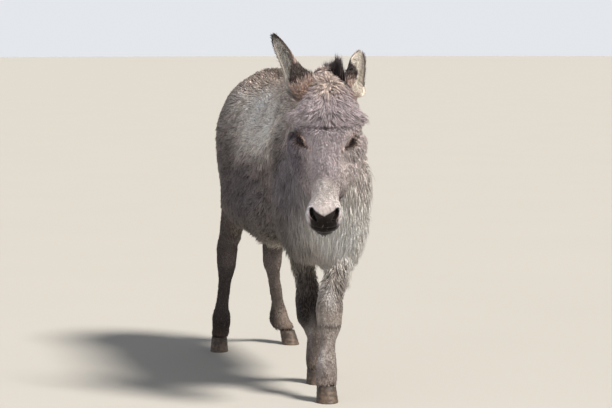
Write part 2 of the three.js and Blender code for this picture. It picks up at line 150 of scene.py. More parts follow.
def buildLights(scene):
    sun = bpy.data.lights.new("keyLight", "SUN")
    sun.energy = studio["sunPower"]
    sun.angle = math.radians(studio["sunSpread"])
    sun.color = srgb(studio["sunColour"])[:3]
    fill = bpy.data.lights.new("fillLight", "AREA")
    fill.shape = "DISK"
    fill.size = studio["fillSize"]
    fill.energy = studio["fillPower"]
    fill.color = srgb(studio["fillColour"])[:3]
    sunPlace = Vector(studio["sunFrom"]) * studio["sunFar"]
    for lamp, place, aim in ((sun, sunPlace, (0, 0, 0)), (fill, Vector(studio["fillPlace"]), studio["aim"])):
        holder = bpy.data.objects.new(lamp.name, lamp)
        holder.location = place
        holder.rotation_euler = (Vector(aim) - place).to_track_quat("-Z", "Y").to_euler()
        scene.collection.objects.link(holder)


def buildAir(scene):
    world = bpy.data.worlds.new("studioAir")
    world.use_nodes = True
    air = world.node_tree
    glow = air.nodes["Background"]
    glow.inputs["Color"].default_value = srgb(studio["sky"])
    heading = addNode(air, "ShaderNodeTexCoord")
    split = addNode(air, "ShaderNodeSeparateXYZ", {}, {0: heading.outputs["Generated"]})
    fade = addNode(air, "ShaderNodeMapRange", {1: 0.12, 2: 0.45, 3: studio["skyLow"], 4: studio["skyHigh"]},
                   {0: split.outputs["Z"]})
    air.links.new(fade.outputs[0], glow.inputs["Strength"])
    scene.world = world


def buildFloor(scene):
    plate = bmesh.new()
    bmesh.ops.create_grid(plate, x_segments=1, y_segments=1, size=studio["floorHalf"])
    mesh = meshFrom(plate, "floor")
    # flat wall paint: pale, without gloss, and a little cloudy from the roller
    paint, tree, shader = newMaterial("mattPaintedFloor", {"Roughness": 0.9})
    where = addNode(tree, "ShaderNodeTexCoord")
    cloud = addNode(tree, "ShaderNodeTexNoise", {"Scale": 1 / studio["cloudSize"], "Detail": 3.0},
                    {"Vector": where.outputs["Object"]})
    pale = srgb(studio["floor"])
    darker = [c * studio["cloudTone"] for c in pale[:3]] + [1.0]
    tone = addNode(tree, "ShaderNodeMix", {"data_type": "RGBA", 6: pale, 7: darker}, {0: cloud.outputs[0]})
    tree.links.new(tone.outputs[2], shader.inputs["Base Color"])
    mesh.materials.append(paint)
    floor = bpy.data.objects.new("floor", mesh)
    scene.collection.objects.link(floor)


def buildStage():
    scene = bpy.context.scene
    for build in (buildCamera, buildLights, buildAir, buildFloor):
        build(scene)


buildStage()
print("stage: camera, lights and floor")

# ---- The head's own frame: x to its left, -y out of the face, -z down to the muzzle, from the poll, in mm

headPose = {"yaw": -16.0, "roll": 1.5, "pitch": -9.0, "eye": (75.0, -40.0, -216.0), "eyeRadius": 21.0}
headTurn = np.array(
    Matrix.Rotation(math.radians(headPose["yaw"]), 3, "Z")
    @ Matrix.Rotation(math.radians(headPose["roll"]), 3, "Y")
    @ Matrix.Rotation(math.radians(headPose["pitch"]), 3, "X"))
eyeMiddle = {}
for sideName in ("left", "right"):
    low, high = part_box("eye_" + sideName)
    eyeMiddle[sideName] = np.array((low + high) / 2)
poll = (eyeMiddle["left"] + eyeMiddle["right"]) / 2 - headTurn @ (
    np.array([0.0, headPose["eye"][1], headPose["eye"][2]]) * millimetre)


def toHead(points):
    return (points - poll) @ headTurn * 1000


def fromHead(points):
    return points @ headTurn.T * millimetre + poll


def eyeCentre(side):
    return np.array([side * headPose["eye"][0], headPose["eye"][1], headPose["eye"][2]])


def turnFromHead(directions):
    return directions @ headTurn.T


def frames(points):
    # the same points in the two frames that spots are given in, mm
    return {"head": toHead(points), "body": points * 1000}


def spot(own, centre, reach, soft):
    # 1 inside an ellipsoid, fading to 0 at its rim, in own's frame and mm
    away = np.linalg.norm((own - np.array(centre)) / np.array(reach), axis=1)
    return 1 - smoothStep(1 - soft, 1 + soft, away)


# ---- Meshes: arrays in, arrays out


def linkPiece(name, mesh, replaced=()):
    piece = bpy.data.objects.new(name, mesh)
    bpy.context.scene.collection.objects.link(piece)
    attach(piece, "root")
    if replaced:
        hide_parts(*replaced)
    return piece


def vertexArray(mesh):
    flat = np.empty(len(mesh.vertices) * 3)
    mesh.vertices.foreach_get("co", flat)
    return flat.reshape(-1, 3)


def normalArray(mesh):
    flat = np.empty(len(mesh.vertices) * 3, np.float32)
    mesh.vertex_normals.foreach_get("vector", flat)
    return flat.reshape(-1, 3).astype(float)


def edgeArray(mesh):
    flat = np.empty(len(mesh.edges) * 2, np.int32)
    mesh.edges.foreach_get("vertices", flat)
    return flat.reshape(-1, 2)


def spread(values, edges, rounds):
    # the values even out over the mesh, a little each round
    count = len(values)
    share = np.bincount(edges.ravel(), minlength=count).clip(1)
    values = values.reshape(count, -1).copy()
    for _ in range(rounds):
        for column in range(values.shape[1]):
            v = values[:, column]
            around = np.bincount(edges[:, 0], v[edges[:, 1]], count)
            around = around + np.bincount(edges[:, 1], v[edges[:, 0]], count)
            values[:, column] = 0.4 * v + 0.6 * around / share
    return values


def paintPoints(mesh, name, colours):
    layer = mesh.color_attributes.new(name, "FLOAT_COLOR", "POINT")
    opaque = np.hstack([colours, np.ones((len(colours), 1))])
    layer.data.foreach_set("color", opaque.astype(np.float32).ravel())


def numberPoints(mesh, name, values):
    mesh.attributes.new(name, "FLOAT", "POINT").data.foreach_set("value", values.astype(np.float32))


# ---- Regions of the flesh, by the CAD node that lies nearest

fleshNodes = ["head", "neck", "trunk"] + [
    leg + part for part in ("_upper", "_lower")
    for leg in ("foreleg_left", "foreleg_right", "hindleg_left", "hindleg_right")]
regionOf = {"head": 0, "neck": 1, "trunk": 2}
regionOf.update({n: 3 if n.startswith("fore") else 4 for n in fleshNodes if n.endswith("_upper")})
regionOf.update({n: 5 for n in fleshNodes if n.endswith("_lower")})
regionCount = 6
fleshShell = bmesh.new()
faceRegion = []
for nodeName in fleshNodes:
    before = len(fleshShell.faces)
    fleshShell.from_mesh(cadNodes[nodeName].data)
    faceRegion += [regionOf[nodeName]] * (len(fleshShell.faces) - before)
faceRegion = np.array(faceRegion)
fleshTree = BVHTree.FromBMesh(fleshShell)


def regionWeights(points, edges, rounds):
    nearest = [fleshTree.find_nearest(Vector(p))[2] for p in points]
    return spread(np.eye(regionCount)[faceRegion[nearest]], edges, rounds)


# ---- Skin: the joined flesh nodes, remeshed without seams, drawn in by the coat's depth, then modelled

skin = {
    "cell": 8.6 * millimetre,
    "rounds": (3, 17, 27, 7, 11, 4),  # smoothing by region, more where the solids have larger facets
    "spreadRounds": 10,
    "socketFill": 1.03,  # times the eye's radius
    "unwrapAngle": 66, "islandGap": 0.004,
}
# Depth of the coat over the skin, mm, by region: head, neck, trunk, upper foreleg, upper hindleg, lower leg
coatDepth = (4.0, 17.0, 15.0, 7.0, 8.0, 2.5)
depthSpots = [  # in the head's frame or the body's: centre, reach, softness, mm of depth
    ("head", (0, -10, -95), (150, 95, 92), 0.25, 21.0),
    ("head", (105, 0, -130), (48, 80, 52), 0.4, 28.0),
    ("head", (-105, 0, -130), (48, 80, 52), 0.4, 28.0),
    ("head", (0, -85, -152), (100, 50, 30), 0.4, 30.0),
    ("head", (0, -60, -280), (60, 60, 90), 0.4, 4.0),
    ("head", (0, 0, -470), (75, 120, 70), 0.3, 0.6),
    ("head", (75, -40, -216), (44, 44, 40), 0.3, 0.8),
    ("head", (-75, -40, -216), (44, 44, 40), 0.3, 0.8),
    ("head", (0, 110, -330), (110, 60, 130), 0.4, 10.0),
    ("body", (0, -480, 620), (220, 210, 190), 0.4, 30.0),
    ("body", (0, 60, 470), (240, 420, 110), 0.4, 24.0),
    ("body", (0, 620, 900), (200, 120, 260), 0.5, 12.0),
    ("body", (-240, 220, 890), (70, 420, 210), 0.6, 27.0),
    ("body", (240, 220, 890), (70, 420, 210), 0.6, 24.0),
    ("body", (175, -480, 790), (80, 190, 160), 0.6, 30.0),
]


def fieldFrom(base, rows, points):
    # a value all over the body: the base, then each spot's value mixed over it
    value = base.copy()
    own = frames(points)
    for place, centre, reach, soft, amount in rows:
        mask = spot(own[place], centre, reach, soft)
        value = value * (1 - mask) + amount * mask
    return value


def joinedFlesh():
    whole = bmesh.new()
    for nodeName in fleshNodes:
        whole.from_mesh(cadNodes[nodeName].data)
    bmesh.ops.remove_doubles(whole, verts=whole.verts, dist=0.02 * millimetre)
    for side in (-1, 1):  # the sockets are filled, for the lids to be cut afresh
        radius = headPose["eyeRadius"] * skin["socketFill"] * millimetre
        ball = bmesh.ops.create_uvsphere(whole, u_segments=24, v_segments=16, radius=radius)
        bmesh.ops.translate(whole, verts=ball["verts"], vec=fromHead(eyeCentre(side)[None])[0])
    mesh = meshFrom(whole, "fleshJoined")
    block = bpy.data.objects.new("fleshJoined", mesh)
    bpy.context.scene.collection.objects.link(block)
    remesh = block.modifiers.new("oneSkin", "REMESH")
    remesh.mode = "VOXEL"
    remesh.voxel_size = skin["cell"]
    bpy.context.view_layer.update()
    fused = bpy.data.meshes.new_from_object(block.evaluated_get(bpy.context.evaluated_depsgraph_get()))
    bpy.data.objects.remove(block)
    return fused


def largestPart(bm):
    # loose bits inside the cuts are dropped
    left = set(bm.verts)
    best = []
    while left:
        group = []
        stack = [left.pop()]
        while stack:
            vert = stack.pop()
            group.append(vert)
            for edge in vert.link_edges:
                other = edge.other_vert(vert)
                if other in left:
                    left.remove(other)
                    stack.append(other)
        if len(group) > len(best):
            best = group
    keep = set(best)
    bmesh.ops.delete(bm, geom=[v for v in bm.verts if v not in keep], context="VERTS")


def smoothWhere(bm, rounds, factor=0.5):
    # rounds gives each vertex its own number of passes
    for turn in range(int(rounds.max())):
        chosen = [v for v in bm.verts if rounds[v.index] > turn]
        bmesh.ops.smooth_vert(bm, verts=chosen, factor=factor,
                              use_axis_x=True, use_axis_y=True, use_axis_z=True)


def pointsOf(bm):
    return np.array([v.co[:] for v in bm.verts])


def movePoints(bm, points):
    for vert, point in zip(bm.verts, points):
        vert.co = point


def normalsOf(bm):
    bm.normal_update()
    return np.array([v.normal[:] for v in bm.verts])


def edgesOf(bm):
    bm.verts.index_update()
    return np.array([(e.verts[0].index, e.verts[1].index) for e in bm.edges])


lid = {
    "gaze": (0.72, -0.69, 0.02), "tilt": 50.0,  # degrees that the inner corner hangs lower
    "half": 19.3, "top": 9.4, "bottom": 7.4,  # opening, mm
    "thick": 2.4, "sink": 5.0, "foldAt": 6.5, "fold": 1.5,
}


def lidAxes(side):
    gaze = unit(np.array([side * lid["gaze"][0], lid["gaze"][1], lid["gaze"][2]]))
    front = unit(np.cross([0, 0, 1.0], gaze) * -side)  # along the lids, to the front of the face
    tilt = math.radians(lid["tilt"])
    along = unit(front * math.cos(tilt) - np.array([0, 0, 1.0]) * math.sin(tilt))
    along = unit(along - gaze * (along @ gaze))
    above = np.cross(gaze, along)
    if above[2] < 0:
        above = -above
    return gaze, along, above


def openingEdge(along, above):
    # mm outside the lids' edge; negative between the lids
    x = np.clip(along / lid["half"], -1, 1)
    arch = 1 - x * x
    rim = np.maximum(above - lid["top"] * arch ** 0.75, -lid["bottom"] * arch - above)
    return np.where(np.abs(along) < lid["half"], rim, np.hypot(np.abs(along) - lid["half"], above))


def roundTheEye(points, side):
    # for points in the head's frame: distance to the eye's middle, ray from it,
    # height on the ball and distance outside the edge of the lids
    gaze, along, above = lidAxes(side)
    offset = points - eyeCentre(side)
    distance = np.linalg.norm(offset, axis=1)
    ray = offset / distance[:, None]
    height = ray @ above * headPose["eyeRadius"]
    edge = openingEdge(ray @ along * headPose["eyeRadius"], height)
    return distance, ray, height, np.where(ray @ gaze > 0, edge, 99.0)


def shapeLids(points, side):
    radius = headPose["eyeRadius"]
    centre = eyeCentre(side)
    distance, ray, b, edge = roundTheEye(points, side)
    near = (distance < 46) & (edge < 90)
    lidRadius = radius + lid["thick"] + 0.9 * np.exp(-((edge - 2.2) / 2.0) ** 2)
    lidRadius -= np.where(b > 0, lid["fold"], 0.7) * np.exp(-((edge - lid["foldAt"]) / 1.6) ** 2)
    lidRadius += 1.4 * np.exp(-((edge - 10.5) / 3.0) ** 2) * (b > 0)  # the fleshy fold over the upper lid
    outer = np.maximum(distance, radius + 1.2)
    mixed = lidRadius + (outer - lidRadius) * smoothStep(3.5, 13, edge)
    inside = radius + lid["thick"] - (lid["sink"] + lid["thick"]) * smoothStep(-0.4, -2.2, edge)
    wanted = np.where(edge < 0, inside, mixed)
    result = points.copy()
    result[near] = centre + ray[near] * wanted[near, None]
    return result


nostril = {
    # one nostril's slit, seen from the front: x out from the middle, z, half width
    "line": ((41, -444, 5.0), (44, -451, 7.0), (42, -461, 7.0), (36, -472, 6.0), (28, -482, 3.5)),
    "deep": 17.0, "rim": 2.0, "rimWide": 5.0,
}
muzzle = {"taper": 0.18}
mouth = {"front": -515.0, "climb": 0.50, "start": -66.0, "deep": 4.5, "half": 3.2, "end": 2.0}


def nosePad(inHead):
    # 1 on the dark bare skin between and under the nostrils, under a notch of pale fur
    x, y, z = inHead.T
    top = -467 + 23 * (np.abs(x) / 36) ** 1.3
    side = 50 - 0.28 * np.clip(-470 - z, 0, None)
    bare = smoothStep(3, -3, z - top) * smoothStep(3, -3, np.abs(x) - side)
    return bare * smoothStep(-20, -38, y) * (z < -436)


def distanceToLine(x, z, line):
    # mm outside a line that has its own half width at each point
    best = np.full(len(x), 1e9)
    for (x0, z0, r0), (x1, z1, r1) in zip(line, line[1:]):
        t = np.clip(((x - x0) * (x1 - x0) + (z - z0) * (z1 - z0)) / ((x1 - x0) ** 2 + (z1 - z0) ** 2), 0, 1)
        away = np.hypot(x - x0 - t * (x1 - x0), z - z0 - t * (z1 - z0))
        best = np.minimum(best, away - (r0 + t * (r1 - r0)))
    return best


def shapeMuzzle(points, normals):
    x, y, z = points.T
    front = (normals[:, 1] < 0.15) & (y < 5) & (z < -415)
    gap = distanceToLine(np.abs(x), z, nostril["line"])
    hole = smoothStep(1.5, -4.5, gap) * front
    rim = np.exp(-((gap - nostril["rimWide"] * 0.7) / (nostril["rimWide"] * 0.55)) ** 2) * front
    rim = rim * (0.35 + 0.65 * smoothStep(36, 46, np.abs(x)))  # thin inside, full outside
    inward = np.stack([-np.sign(x) * 0.35, np.full(len(x), 0.92), np.full(len(x), 0.2)], axis=1)
    moved = points + inward * (hole * nostril["deep"])[:, None] + normals * (rim * nostril["rim"])[:, None]
    # the lips meet on a line that climbs to the corners
    line = mouth["front"] + mouth["climb"] * np.clip(y - mouth["start"], 0, None)
    across = np.exp(-((z - line) / mouth["half"]) ** 2) * (y < mouth["end"]) * (z < -455)
    moved -= normals * (across * mouth["deep"])[:, None]
    # a full lower lip, and the shallow groove between the nostrils
    moved += normals * (2.5 * np.exp(-((z - line + 13) / 7) ** 2) * (y < -15) * (z < -500))[:, None]
    narrow = 1 - muzzle["taper"] * smoothStep(-478, -530, z)
    moved[:, 0] = np.where(z < -470, moved[:, 0] * narrow, moved[:, 0])
    groove = np.exp(-(x / 5.0) ** 2) * smoothStep(-455, -475, z) * (y < -40) * (z > line + 2)
    return moved - normals * (2.2 * groove)[:, None]


def shapeFace(points, normals):
    x, y, z = points.T
    side = np.abs(x)
    # facial crest: a soft ridge from under the eye to the cheek, with a hollow over it
    crest = np.exp(-((side - (72 + (z + 250) * 0.12)) / 9) ** 2)
    crest = crest * smoothStep(-390, -330, z) * smoothStep(-235, -262, z)
    hollow = np.exp(-((side - 40) / 13) ** 2)
    hollow = hollow * smoothStep(-420, -360, z) * smoothStep(-250, -300, z) * (y < 0)
    # the groove that tears run down, from the inner corner of the eye
    tear = np.exp(-((side - (54 - (z + 240) * -0.06)) / 6) ** 2)
    tear = tear * smoothStep(-330, -270, z) * smoothStep(-228, -244, z)
    return points + normals * (3.0 * crest - 3.0 * hollow - 1.6 * tear * (y < -20))[:, None]


def subdivideWhere(bm, chosen):
    edges = {e for v in chosen for f in v.link_faces for e in f.edges}
    bmesh.ops.subdivide_edges(bm, edges=list(edges), cuts=1, use_grid_fill=True)
    bm.verts.index_update()


def buildSkin():
    fused = joinedFlesh()
    bm = bmesh.new()
    bm.from_mesh(fused)
    bpy.data.meshes.remove(fused)
    largestPart(bm)
    edges = edgesOf(bm)
    weights = regionWeights(pointsOf(bm), edges, skin["spreadRounds"])
    smoothWhere(bm, weights @ np.array(skin["rounds"]))
    points = pointsOf(bm)
    depth = fieldFrom(weights @ np.array(coatDepth), depthSpots, points)
    depth = spread(depth, edges, 6)[:, 0]
    movePoints(bm, points - normalsOf(bm) * depth[:, None] * millimetre)
    smoothWhere(bm, np.full(len(points), 2.0) + (weights[:, 1] + weights[:, 2]) * 4)
    print("skin: fused and drawn in,", len(bm.faces), "faces")
    # an unwrap of the skin's own shape, which the coat's patches sit on
    mesh = meshFrom(bm, "skin")
    body = bpy.data.objects.new("skin", mesh)
    bpy.context.scene.collection.objects.link(body)
    mesh.uv_layers.new(name="OFBake")
    bpy.context.view_layer.objects.active = body
    body.select_set(True)
    bpy.ops.object.mode_set(mode="EDIT")
    bpy.ops.mesh.select_all(action="SELECT")
    bpy.ops.uv.smart_project(angle_limit=math.radians(skin["unwrapAngle"]), island_margin=skin["islandGap"])
    bpy.ops.object.mode_set(mode="OBJECT")
    bpy.data.objects.remove(body)
    print("skin: unwrapped")
    bm = bmesh.new()
    bm.from_mesh(mesh)
    inHead = toHead(pointsOf(bm))
    reach = (inHead[:, 2] < -60) & (inHead[:, 2] > -560) & (inHead[:, 1] < 125) & (np.abs(inHead[:, 0]) < 150)
    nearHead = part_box("head")
    points = pointsOf(bm)
    inside = reach & (points[:, 1] < -0.60) & (points[:, 2] > nearHead[0][2] - 0.02)
    facing = inside & ((inHead[:, 1] < 60) | (inHead[:, 2] < -260))
    subdivideWhere(bm, [v for v in bm.verts if facing[v.index]])
    inHead = toHead(pointsOf(bm))
    fine = (inHead[:, 2] < -418) & (inHead[:, 2] > -560) & (inHead[:, 1] < 40) & (np.abs(inHead[:, 0]) < 90)
    for side in (-1, 1):
        fine |= np.linalg.norm(inHead - eyeCentre(side), axis=1) < 42
    fine &= pointsOf(bm)[:, 1] < -0.62
    subdivideWhere(bm, [v for v in bm.verts if fine[v.index]])
    inHead = toHead(pointsOf(bm))
    finest = np.zeros(len(inHead), bool)
    for side in (-1, 1):
        finest |= roundTheEye(inHead, side)[0] < 27
    subdivideWhere(bm, [v for v in bm.verts if finest[v.index]])
    inHead = toHead(pointsOf(bm))
    headArea = (inHead[:, 2] < -30) & (pointsOf(bm)[:, 1] < -0.6) & (inHead[:, 2] > -570)
    smoothWhere(bm, np.where(headArea, 3.0, 0.0))
    points = pointsOf(bm)
    inHead = toHead(points)
    normals = normalsOf(bm) @ headTurn
    headOnly = (points[:, 1] < -0.60) & (inHead[:, 2] > -570) & (inHead[:, 2] < -60) & (inHead[:, 1] < 90)
    shaped = shapeFace(inHead, normals)
    shaped = shapeMuzzle(shaped, normals)
    for side in (-1, 1):
        shaped = shapeLids(shaped, side)
    inHead = np.where(headOnly[:, None], shaped, inHead)
    movePoints(bm, fromHead(inHead))
    near = np.linalg.norm(np.abs(inHead) - np.abs(np.array(headPose["eye"])), axis=1) < 50
    near |= inHead[:, 2] < -420
    smoothWhere(bm, np.where(headOnly & near, 1.0, 0.0), 0.35)
    bmesh.ops.triangulate(bm, faces=[f for f in bm.faces if len(f.verts) > 4])
    bm.to_mesh(mesh)
    bm.free()
    mesh.shade_smooth()
    print("skin: modelled,", len(mesh.polygons), "faces")
    return mesh


skinMesh = buildSkin()
skinPoints = vertexArray(skinMesh)
skinNormals = normalArray(skinMesh)
skinEdges = edgeArray(skinMesh)
skinHead = toHead(skinPoints)
skinWeights = regionWeights(skinPoints, skinEdges, 14)

# ---- Markings: one set of named patches that the skin and the coat both take their colour from

groundColours = ("#9a8f92", "#9c9391", "#9a8f8a", "#8f8682", "#776b66", "#8a7f7c")  # by region
markings = [  # frame, centre, reach, softness, colour, strength
    # body
    ("body", (0, 150, 1120), (210, 640, 130), 0.5, "#a8978b", 0.75),  # beige back
    ("body", (-200, 40, 985), (150, 400, 150), 0.4, "#e2dad5", 0.95),  # pale flanks; the right one is painted brighter, partly painted sunlight
    ("body", (200, 60, 960), (150, 420, 170), 0.7, "#cbc3bb", 0.85),
    ("body", (-215, 100, 700), (100, 430, 150), 0.6, "#4e464c", 0.9),  # painted shade low on the right side, away from the sun, over a duskier coat
    # painted shade on the back of the right haunch
    ("body", (-225, 400, 860), (110, 190, 210), 0.8, "#544b4a", 0.85),
    # painted shade low on the right of the neck
    ("body", (-172, -400, 720), (110, 140, 170), 0.8, "#5a5156", 0.8),
    # a milder copy of the painted shade, low on the left side
    ("body", (225, 120, 640), (110, 430, 120), 0.8, "#7b7071", 0.6),
    ("body", (0, 640, 780), (260, 130, 330), 0.8, "#5b504c", 0.75),  # browner buttocks
    ("body", (0, -110, 1130), (26, 800, 110), 0.5, "#5f524b", 0.75),  # stripe along the spine
    ("body", (0, 400, 1150), (24, 420, 110), 0.5, "#5f524b", 0.75),
    ("body", (0, -245, 960), (300, 26, 200), 0.6, "#6f645e", 0.55),  # cross over the shoulders
    ("body", (0, 60, 470), (190, 430, 120), 0.5, "#c9bfac", 0.85),  # cream belly
    ("body", (60, -500, 630), (150, 190, 200), 0.8, "#f7f4ef", 0.97),  # cream breast
    ("body", (130, -520, 740), (90, 160, 220), 0.9, "#ddd7d2", 0.75),
    # painted shade on the right of the chest and low under the breast
    ("body", (-130, -360, 570), (80, 130, 150), 0.8, "#4b4442", 0.85),
    ("body", (-50, -460, 520), (60, 90, 80), 0.8, "#928a84", 0.75),
    # painted shade low on the right of the belly
    ("body", (-170, -20, 525), (90, 350, 90), 0.7, "#4b4137", 0.92),
    ("body", (98, -500, 830), (60, 110, 80), 0.7, "#bfb4b3", 0.8),
    # painted shade, bluish, on the right of the neck beside the cheek
    ("body", (-175, -490, 815), (90, 140, 110), 0.8, "#67646f", 0.8),
    ("body", (-165, -330, 880), (30, 70, 90), 0.8, "#463d3b", 0.7),  # shadowed fold of the shoulder
    # legs
    ("body", (20, -500, 260), (90, 90, 290), 0.5, "#8b837e", 0.95),  # left foreleg, grey
    ("body", (-10, -530, 300), (60, 60, 28), 0.6, "#a0968f", 0.6),
    # painted highlights: whitish streaks on the left foreleg
    ("body", (-16, -545, 392), (22, 60, 60), 0.7, "#d6d2d2", 0.6),
    ("body", (-54, -560, 165), (14, 60, 40), 0.8, "#c9c3c2", 0.5),
    ("body", (-10, -530, 263), (50, 60, 5), 0.8, "#3b322f", 0.8),  # painted shade in the crease under the knee
    ("body", (-50, -590, 96), (15, 34, 12), 0.6, "#2d2523", 0.85),
    ("body", (-20, -596, 98), (8, 30, 8), 0.6, "#3b3331", 0.7),
    ("body", (0, -215, 260), (90, 110, 270), 0.5, "#625955", 0.95),  # right foreleg, with a black knee; darker than the left, partly painted shade
    ("body", (-50, -300, 400), (80, 90, 90), 0.8, "#39312e", 0.9),
    ("body", (-24, -265, 290), (70, 70, 66), 0.5, "#1e1816", 0.95),
    ("body", (-18, -215, 190), (14, 60, 70), 0.8, "#9d9799", 0.45),
    ("body", (-155, 610, 400), (90, 140, 260), 0.9, "#3f3634", 0.9),  # right hind leg, dark: partly painted shade
    ("body", (-160, 650, 180), (100, 150, 250), 0.7, "#3d3634", 0.95),
    ("body", (-140, 570, 380), (36, 60, 40), 0.7, "#655c59", 0.7),
    ("body", (-200, 620, 300), (20, 60, 10), 0.6, "#1b1614", 0.8),
    ("body", (-200, 620, 215), (22, 60, 8), 0.6, "#1b1614", 0.85),
    ("body", (-165, 640, 90), (60, 70, 50), 0.7, "#2d2623", 0.8),
    ("body", (110, 730, 240), (110, 170, 330), 0.8, "#5f5651", 0.97),  # left hind leg
    ("body", (80, 660, 470), (90, 120, 60), 0.8, "#332a26", 0.85),
    ("body", (120, 640, 430), (30, 80, 50), 0.7, "#6e4f3d", 0.6),
    ("body", (60, 800, 110), (40, 60, 40), 0.7, "#2e2622", 0.8),
    ("body", (130, 720, 110), (50, 60, 50), 0.7, "#83776d", 0.55),
    ("body", (0, -300, 30), (400, 500, 62), 0.5, "#7d6c5e", 0.5),  # dusty pasterns
    ("body", (0, 650, 30), (400, 300, 62), 0.5, "#54453a", 0.6),
    # head
    ("head", (0, -60, -110), (150, 90, 80), 0.4, "#afa4a8", 0.9),  # forehead
    ("head", (0, -60, -262), (70, 70, 96), 0.4, "#bdb2b7", 0.88),
    ("head", (90, 20, -280), (50, 120, 120), 0.5, "#d2c7c6", 0.8),
    # painted shade on the right cheek, the side away from the light
    ("head", (-112, 20, -262), (36, 90, 90), 0.6, "#625c68", 0.85),
    ("head", (0, -80, -345), (50, 60, 26), 0.6, "#9a8e90", 0.5),
    ("head", (0, -80, -402), (74, 76, 62), 0.35, "#dbd2d0", 0.92),  # white nose
    ("head", (0, -110, -440), (20, 60, 30), 0.5, "#d2c9c7", 0.9),
    ("head", (54, -45, -452), (20, 45, 36), 0.4, "#dedadb", 0.85),
    ("head", (-54, -45, -452), (20, 45, 36), 0.4, "#d5d1d8", 0.85),
    ("head", (0, -20, -512), (52, 90, 44), 0.22, "#130d0b", 0.98),  # dark lips
    # painted shadow along the fringe's lower edge
    ("head", (-22, -90, -171), (52, 100, 6), 0.7, "#453b3d", 0.7),
    ("head", (32, -90, -167), (48, 100, 5), 0.7, "#4d4345", 0.6),
    ("head", (-92, -20, -184), (34, 70, 13), 0.7, "#453b40", 0.75),  # painted shadow in the crease under the fringe
    ("head", (0, -110, -164), (16, 70, 15), 0.5, "#2a2224", 0.92),  # whorl
    ("head", (0, -110, -305), (13, 60, 22), 0.7, "#6f6468", 0.4),
    ("head", (52, -80, -236), (5, 26, 10), 0.6, "#a88875", 0.6),
    ("head", (-52, -80, -236), (5, 26, 10), 0.6, "#a08270", 0.55),
    ("head", (60, -70, -290), (7, 50, 52), 0.6, "#c4b8b4", 0.55),  # tear streaks
    ("head", (-60, -70, -290), (7, 50, 52), 0.6, "#bbb0ae", 0.5),
    ("head", (0, -10, 0), (40, 70, 60), 0.5, "#cbbab1", 0.85),  # poll
    ("head", (74, -4, -40), (26, 44, 20), 0.6, "#a08474", 0.6),  # tan fur in front of the ears
    ("head", (-74, -4, -40), (26, 44, 20), 0.6, "#a08474", 0.6),
]


def mixedColour(points, weights):
    inHead = toHead(points)
    colour = weights @ np.array([srgb(c)[:3] for c in groundColours])
    own = frames(points)
    for place, centre, reach, soft, code, strength in markings:
        mask = spot(own[place], centre, reach, soft) * strength
        if place == "head":
            mask = mask * smoothStep(0.05, 0.6, weights[:, 0])
        elif centre[2] > 560:
            mask = mask * smoothStep(0.9, 0.4, weights[:, 0])
        colour = blend(colour, code, mask)
    colour = blend(colour, "#110b09", nosePad(inHead) * 0.98 * (weights[:, 0] > 0.4))
    gap = distanceToLine(np.abs(inHead[:, 0]), inHead[:, 2], nostril["line"])
    colour = blend(colour, "#120c0b", smoothStep(1, -2, gap) * (inHead[:, 1] < 0) * (weights[:, 0] > 0.4))
    rim = smoothStep(0.5, 2, gap) * smoothStep(6, 3, gap) * smoothStep(38, 44, np.abs(inHead[:, 0]))
    rim = rim * smoothStep(-450, -456, inHead[:, 2]) * (inHead[:, 1] < 0)
    colour = blend(colour, "#75625f", rim * 0.7)
    for side in (-1, 1):
        distance, _, _, edge = roundTheEye(inHead, side)
        ring = (distance < 40) * (weights[:, 0] > 0.4)
        colour = blend(colour, "#8b7163", smoothStep(10, 4, edge) * ring * 0.65)
        colour = blend(colour, "#1f1613", smoothStep(3.8, 1.8, edge) * ring * 0.95)
    loose = weights[:, 1] + weights[:, 2]
    cloud = ripple(points, 0.16, 3) * (0.05 + 0.08 * loose) + ripple(points, 0.05, 4) * (0.05 + 0.07 * loose)
    cloud += ripple(points, 0.018, 5) * 0.13 * smoothStep(0.3, 0.8, weights[:, 0]) * (1 - nosePad(inHead))
    return colour * (1 + cloud[:, None])


skinColours = mixedColour(skinPoints, skinWeights)
bareSkin = spot(skinHead, (0, -20, -512), (54, 90, 40), 0.25)
bareSkin = np.maximum(bareSkin, nosePad(skinHead)) * (skinWeights[:, 0] > 0.4)
rootShade = 0.62  # under the hair the skin is in shade
hairy = smoothStep(3, 12, fieldFrom(skinWeights @ np.array(coatDepth), depthSpots, skinPoints))
paintPoints(skinMesh, "coatColour", skinColours * (1 - (1 - rootShade) * hairy)[:, None])
numberPoints(skinMesh, "bareSkin", bareSkin)

# ---- Materials of the coat


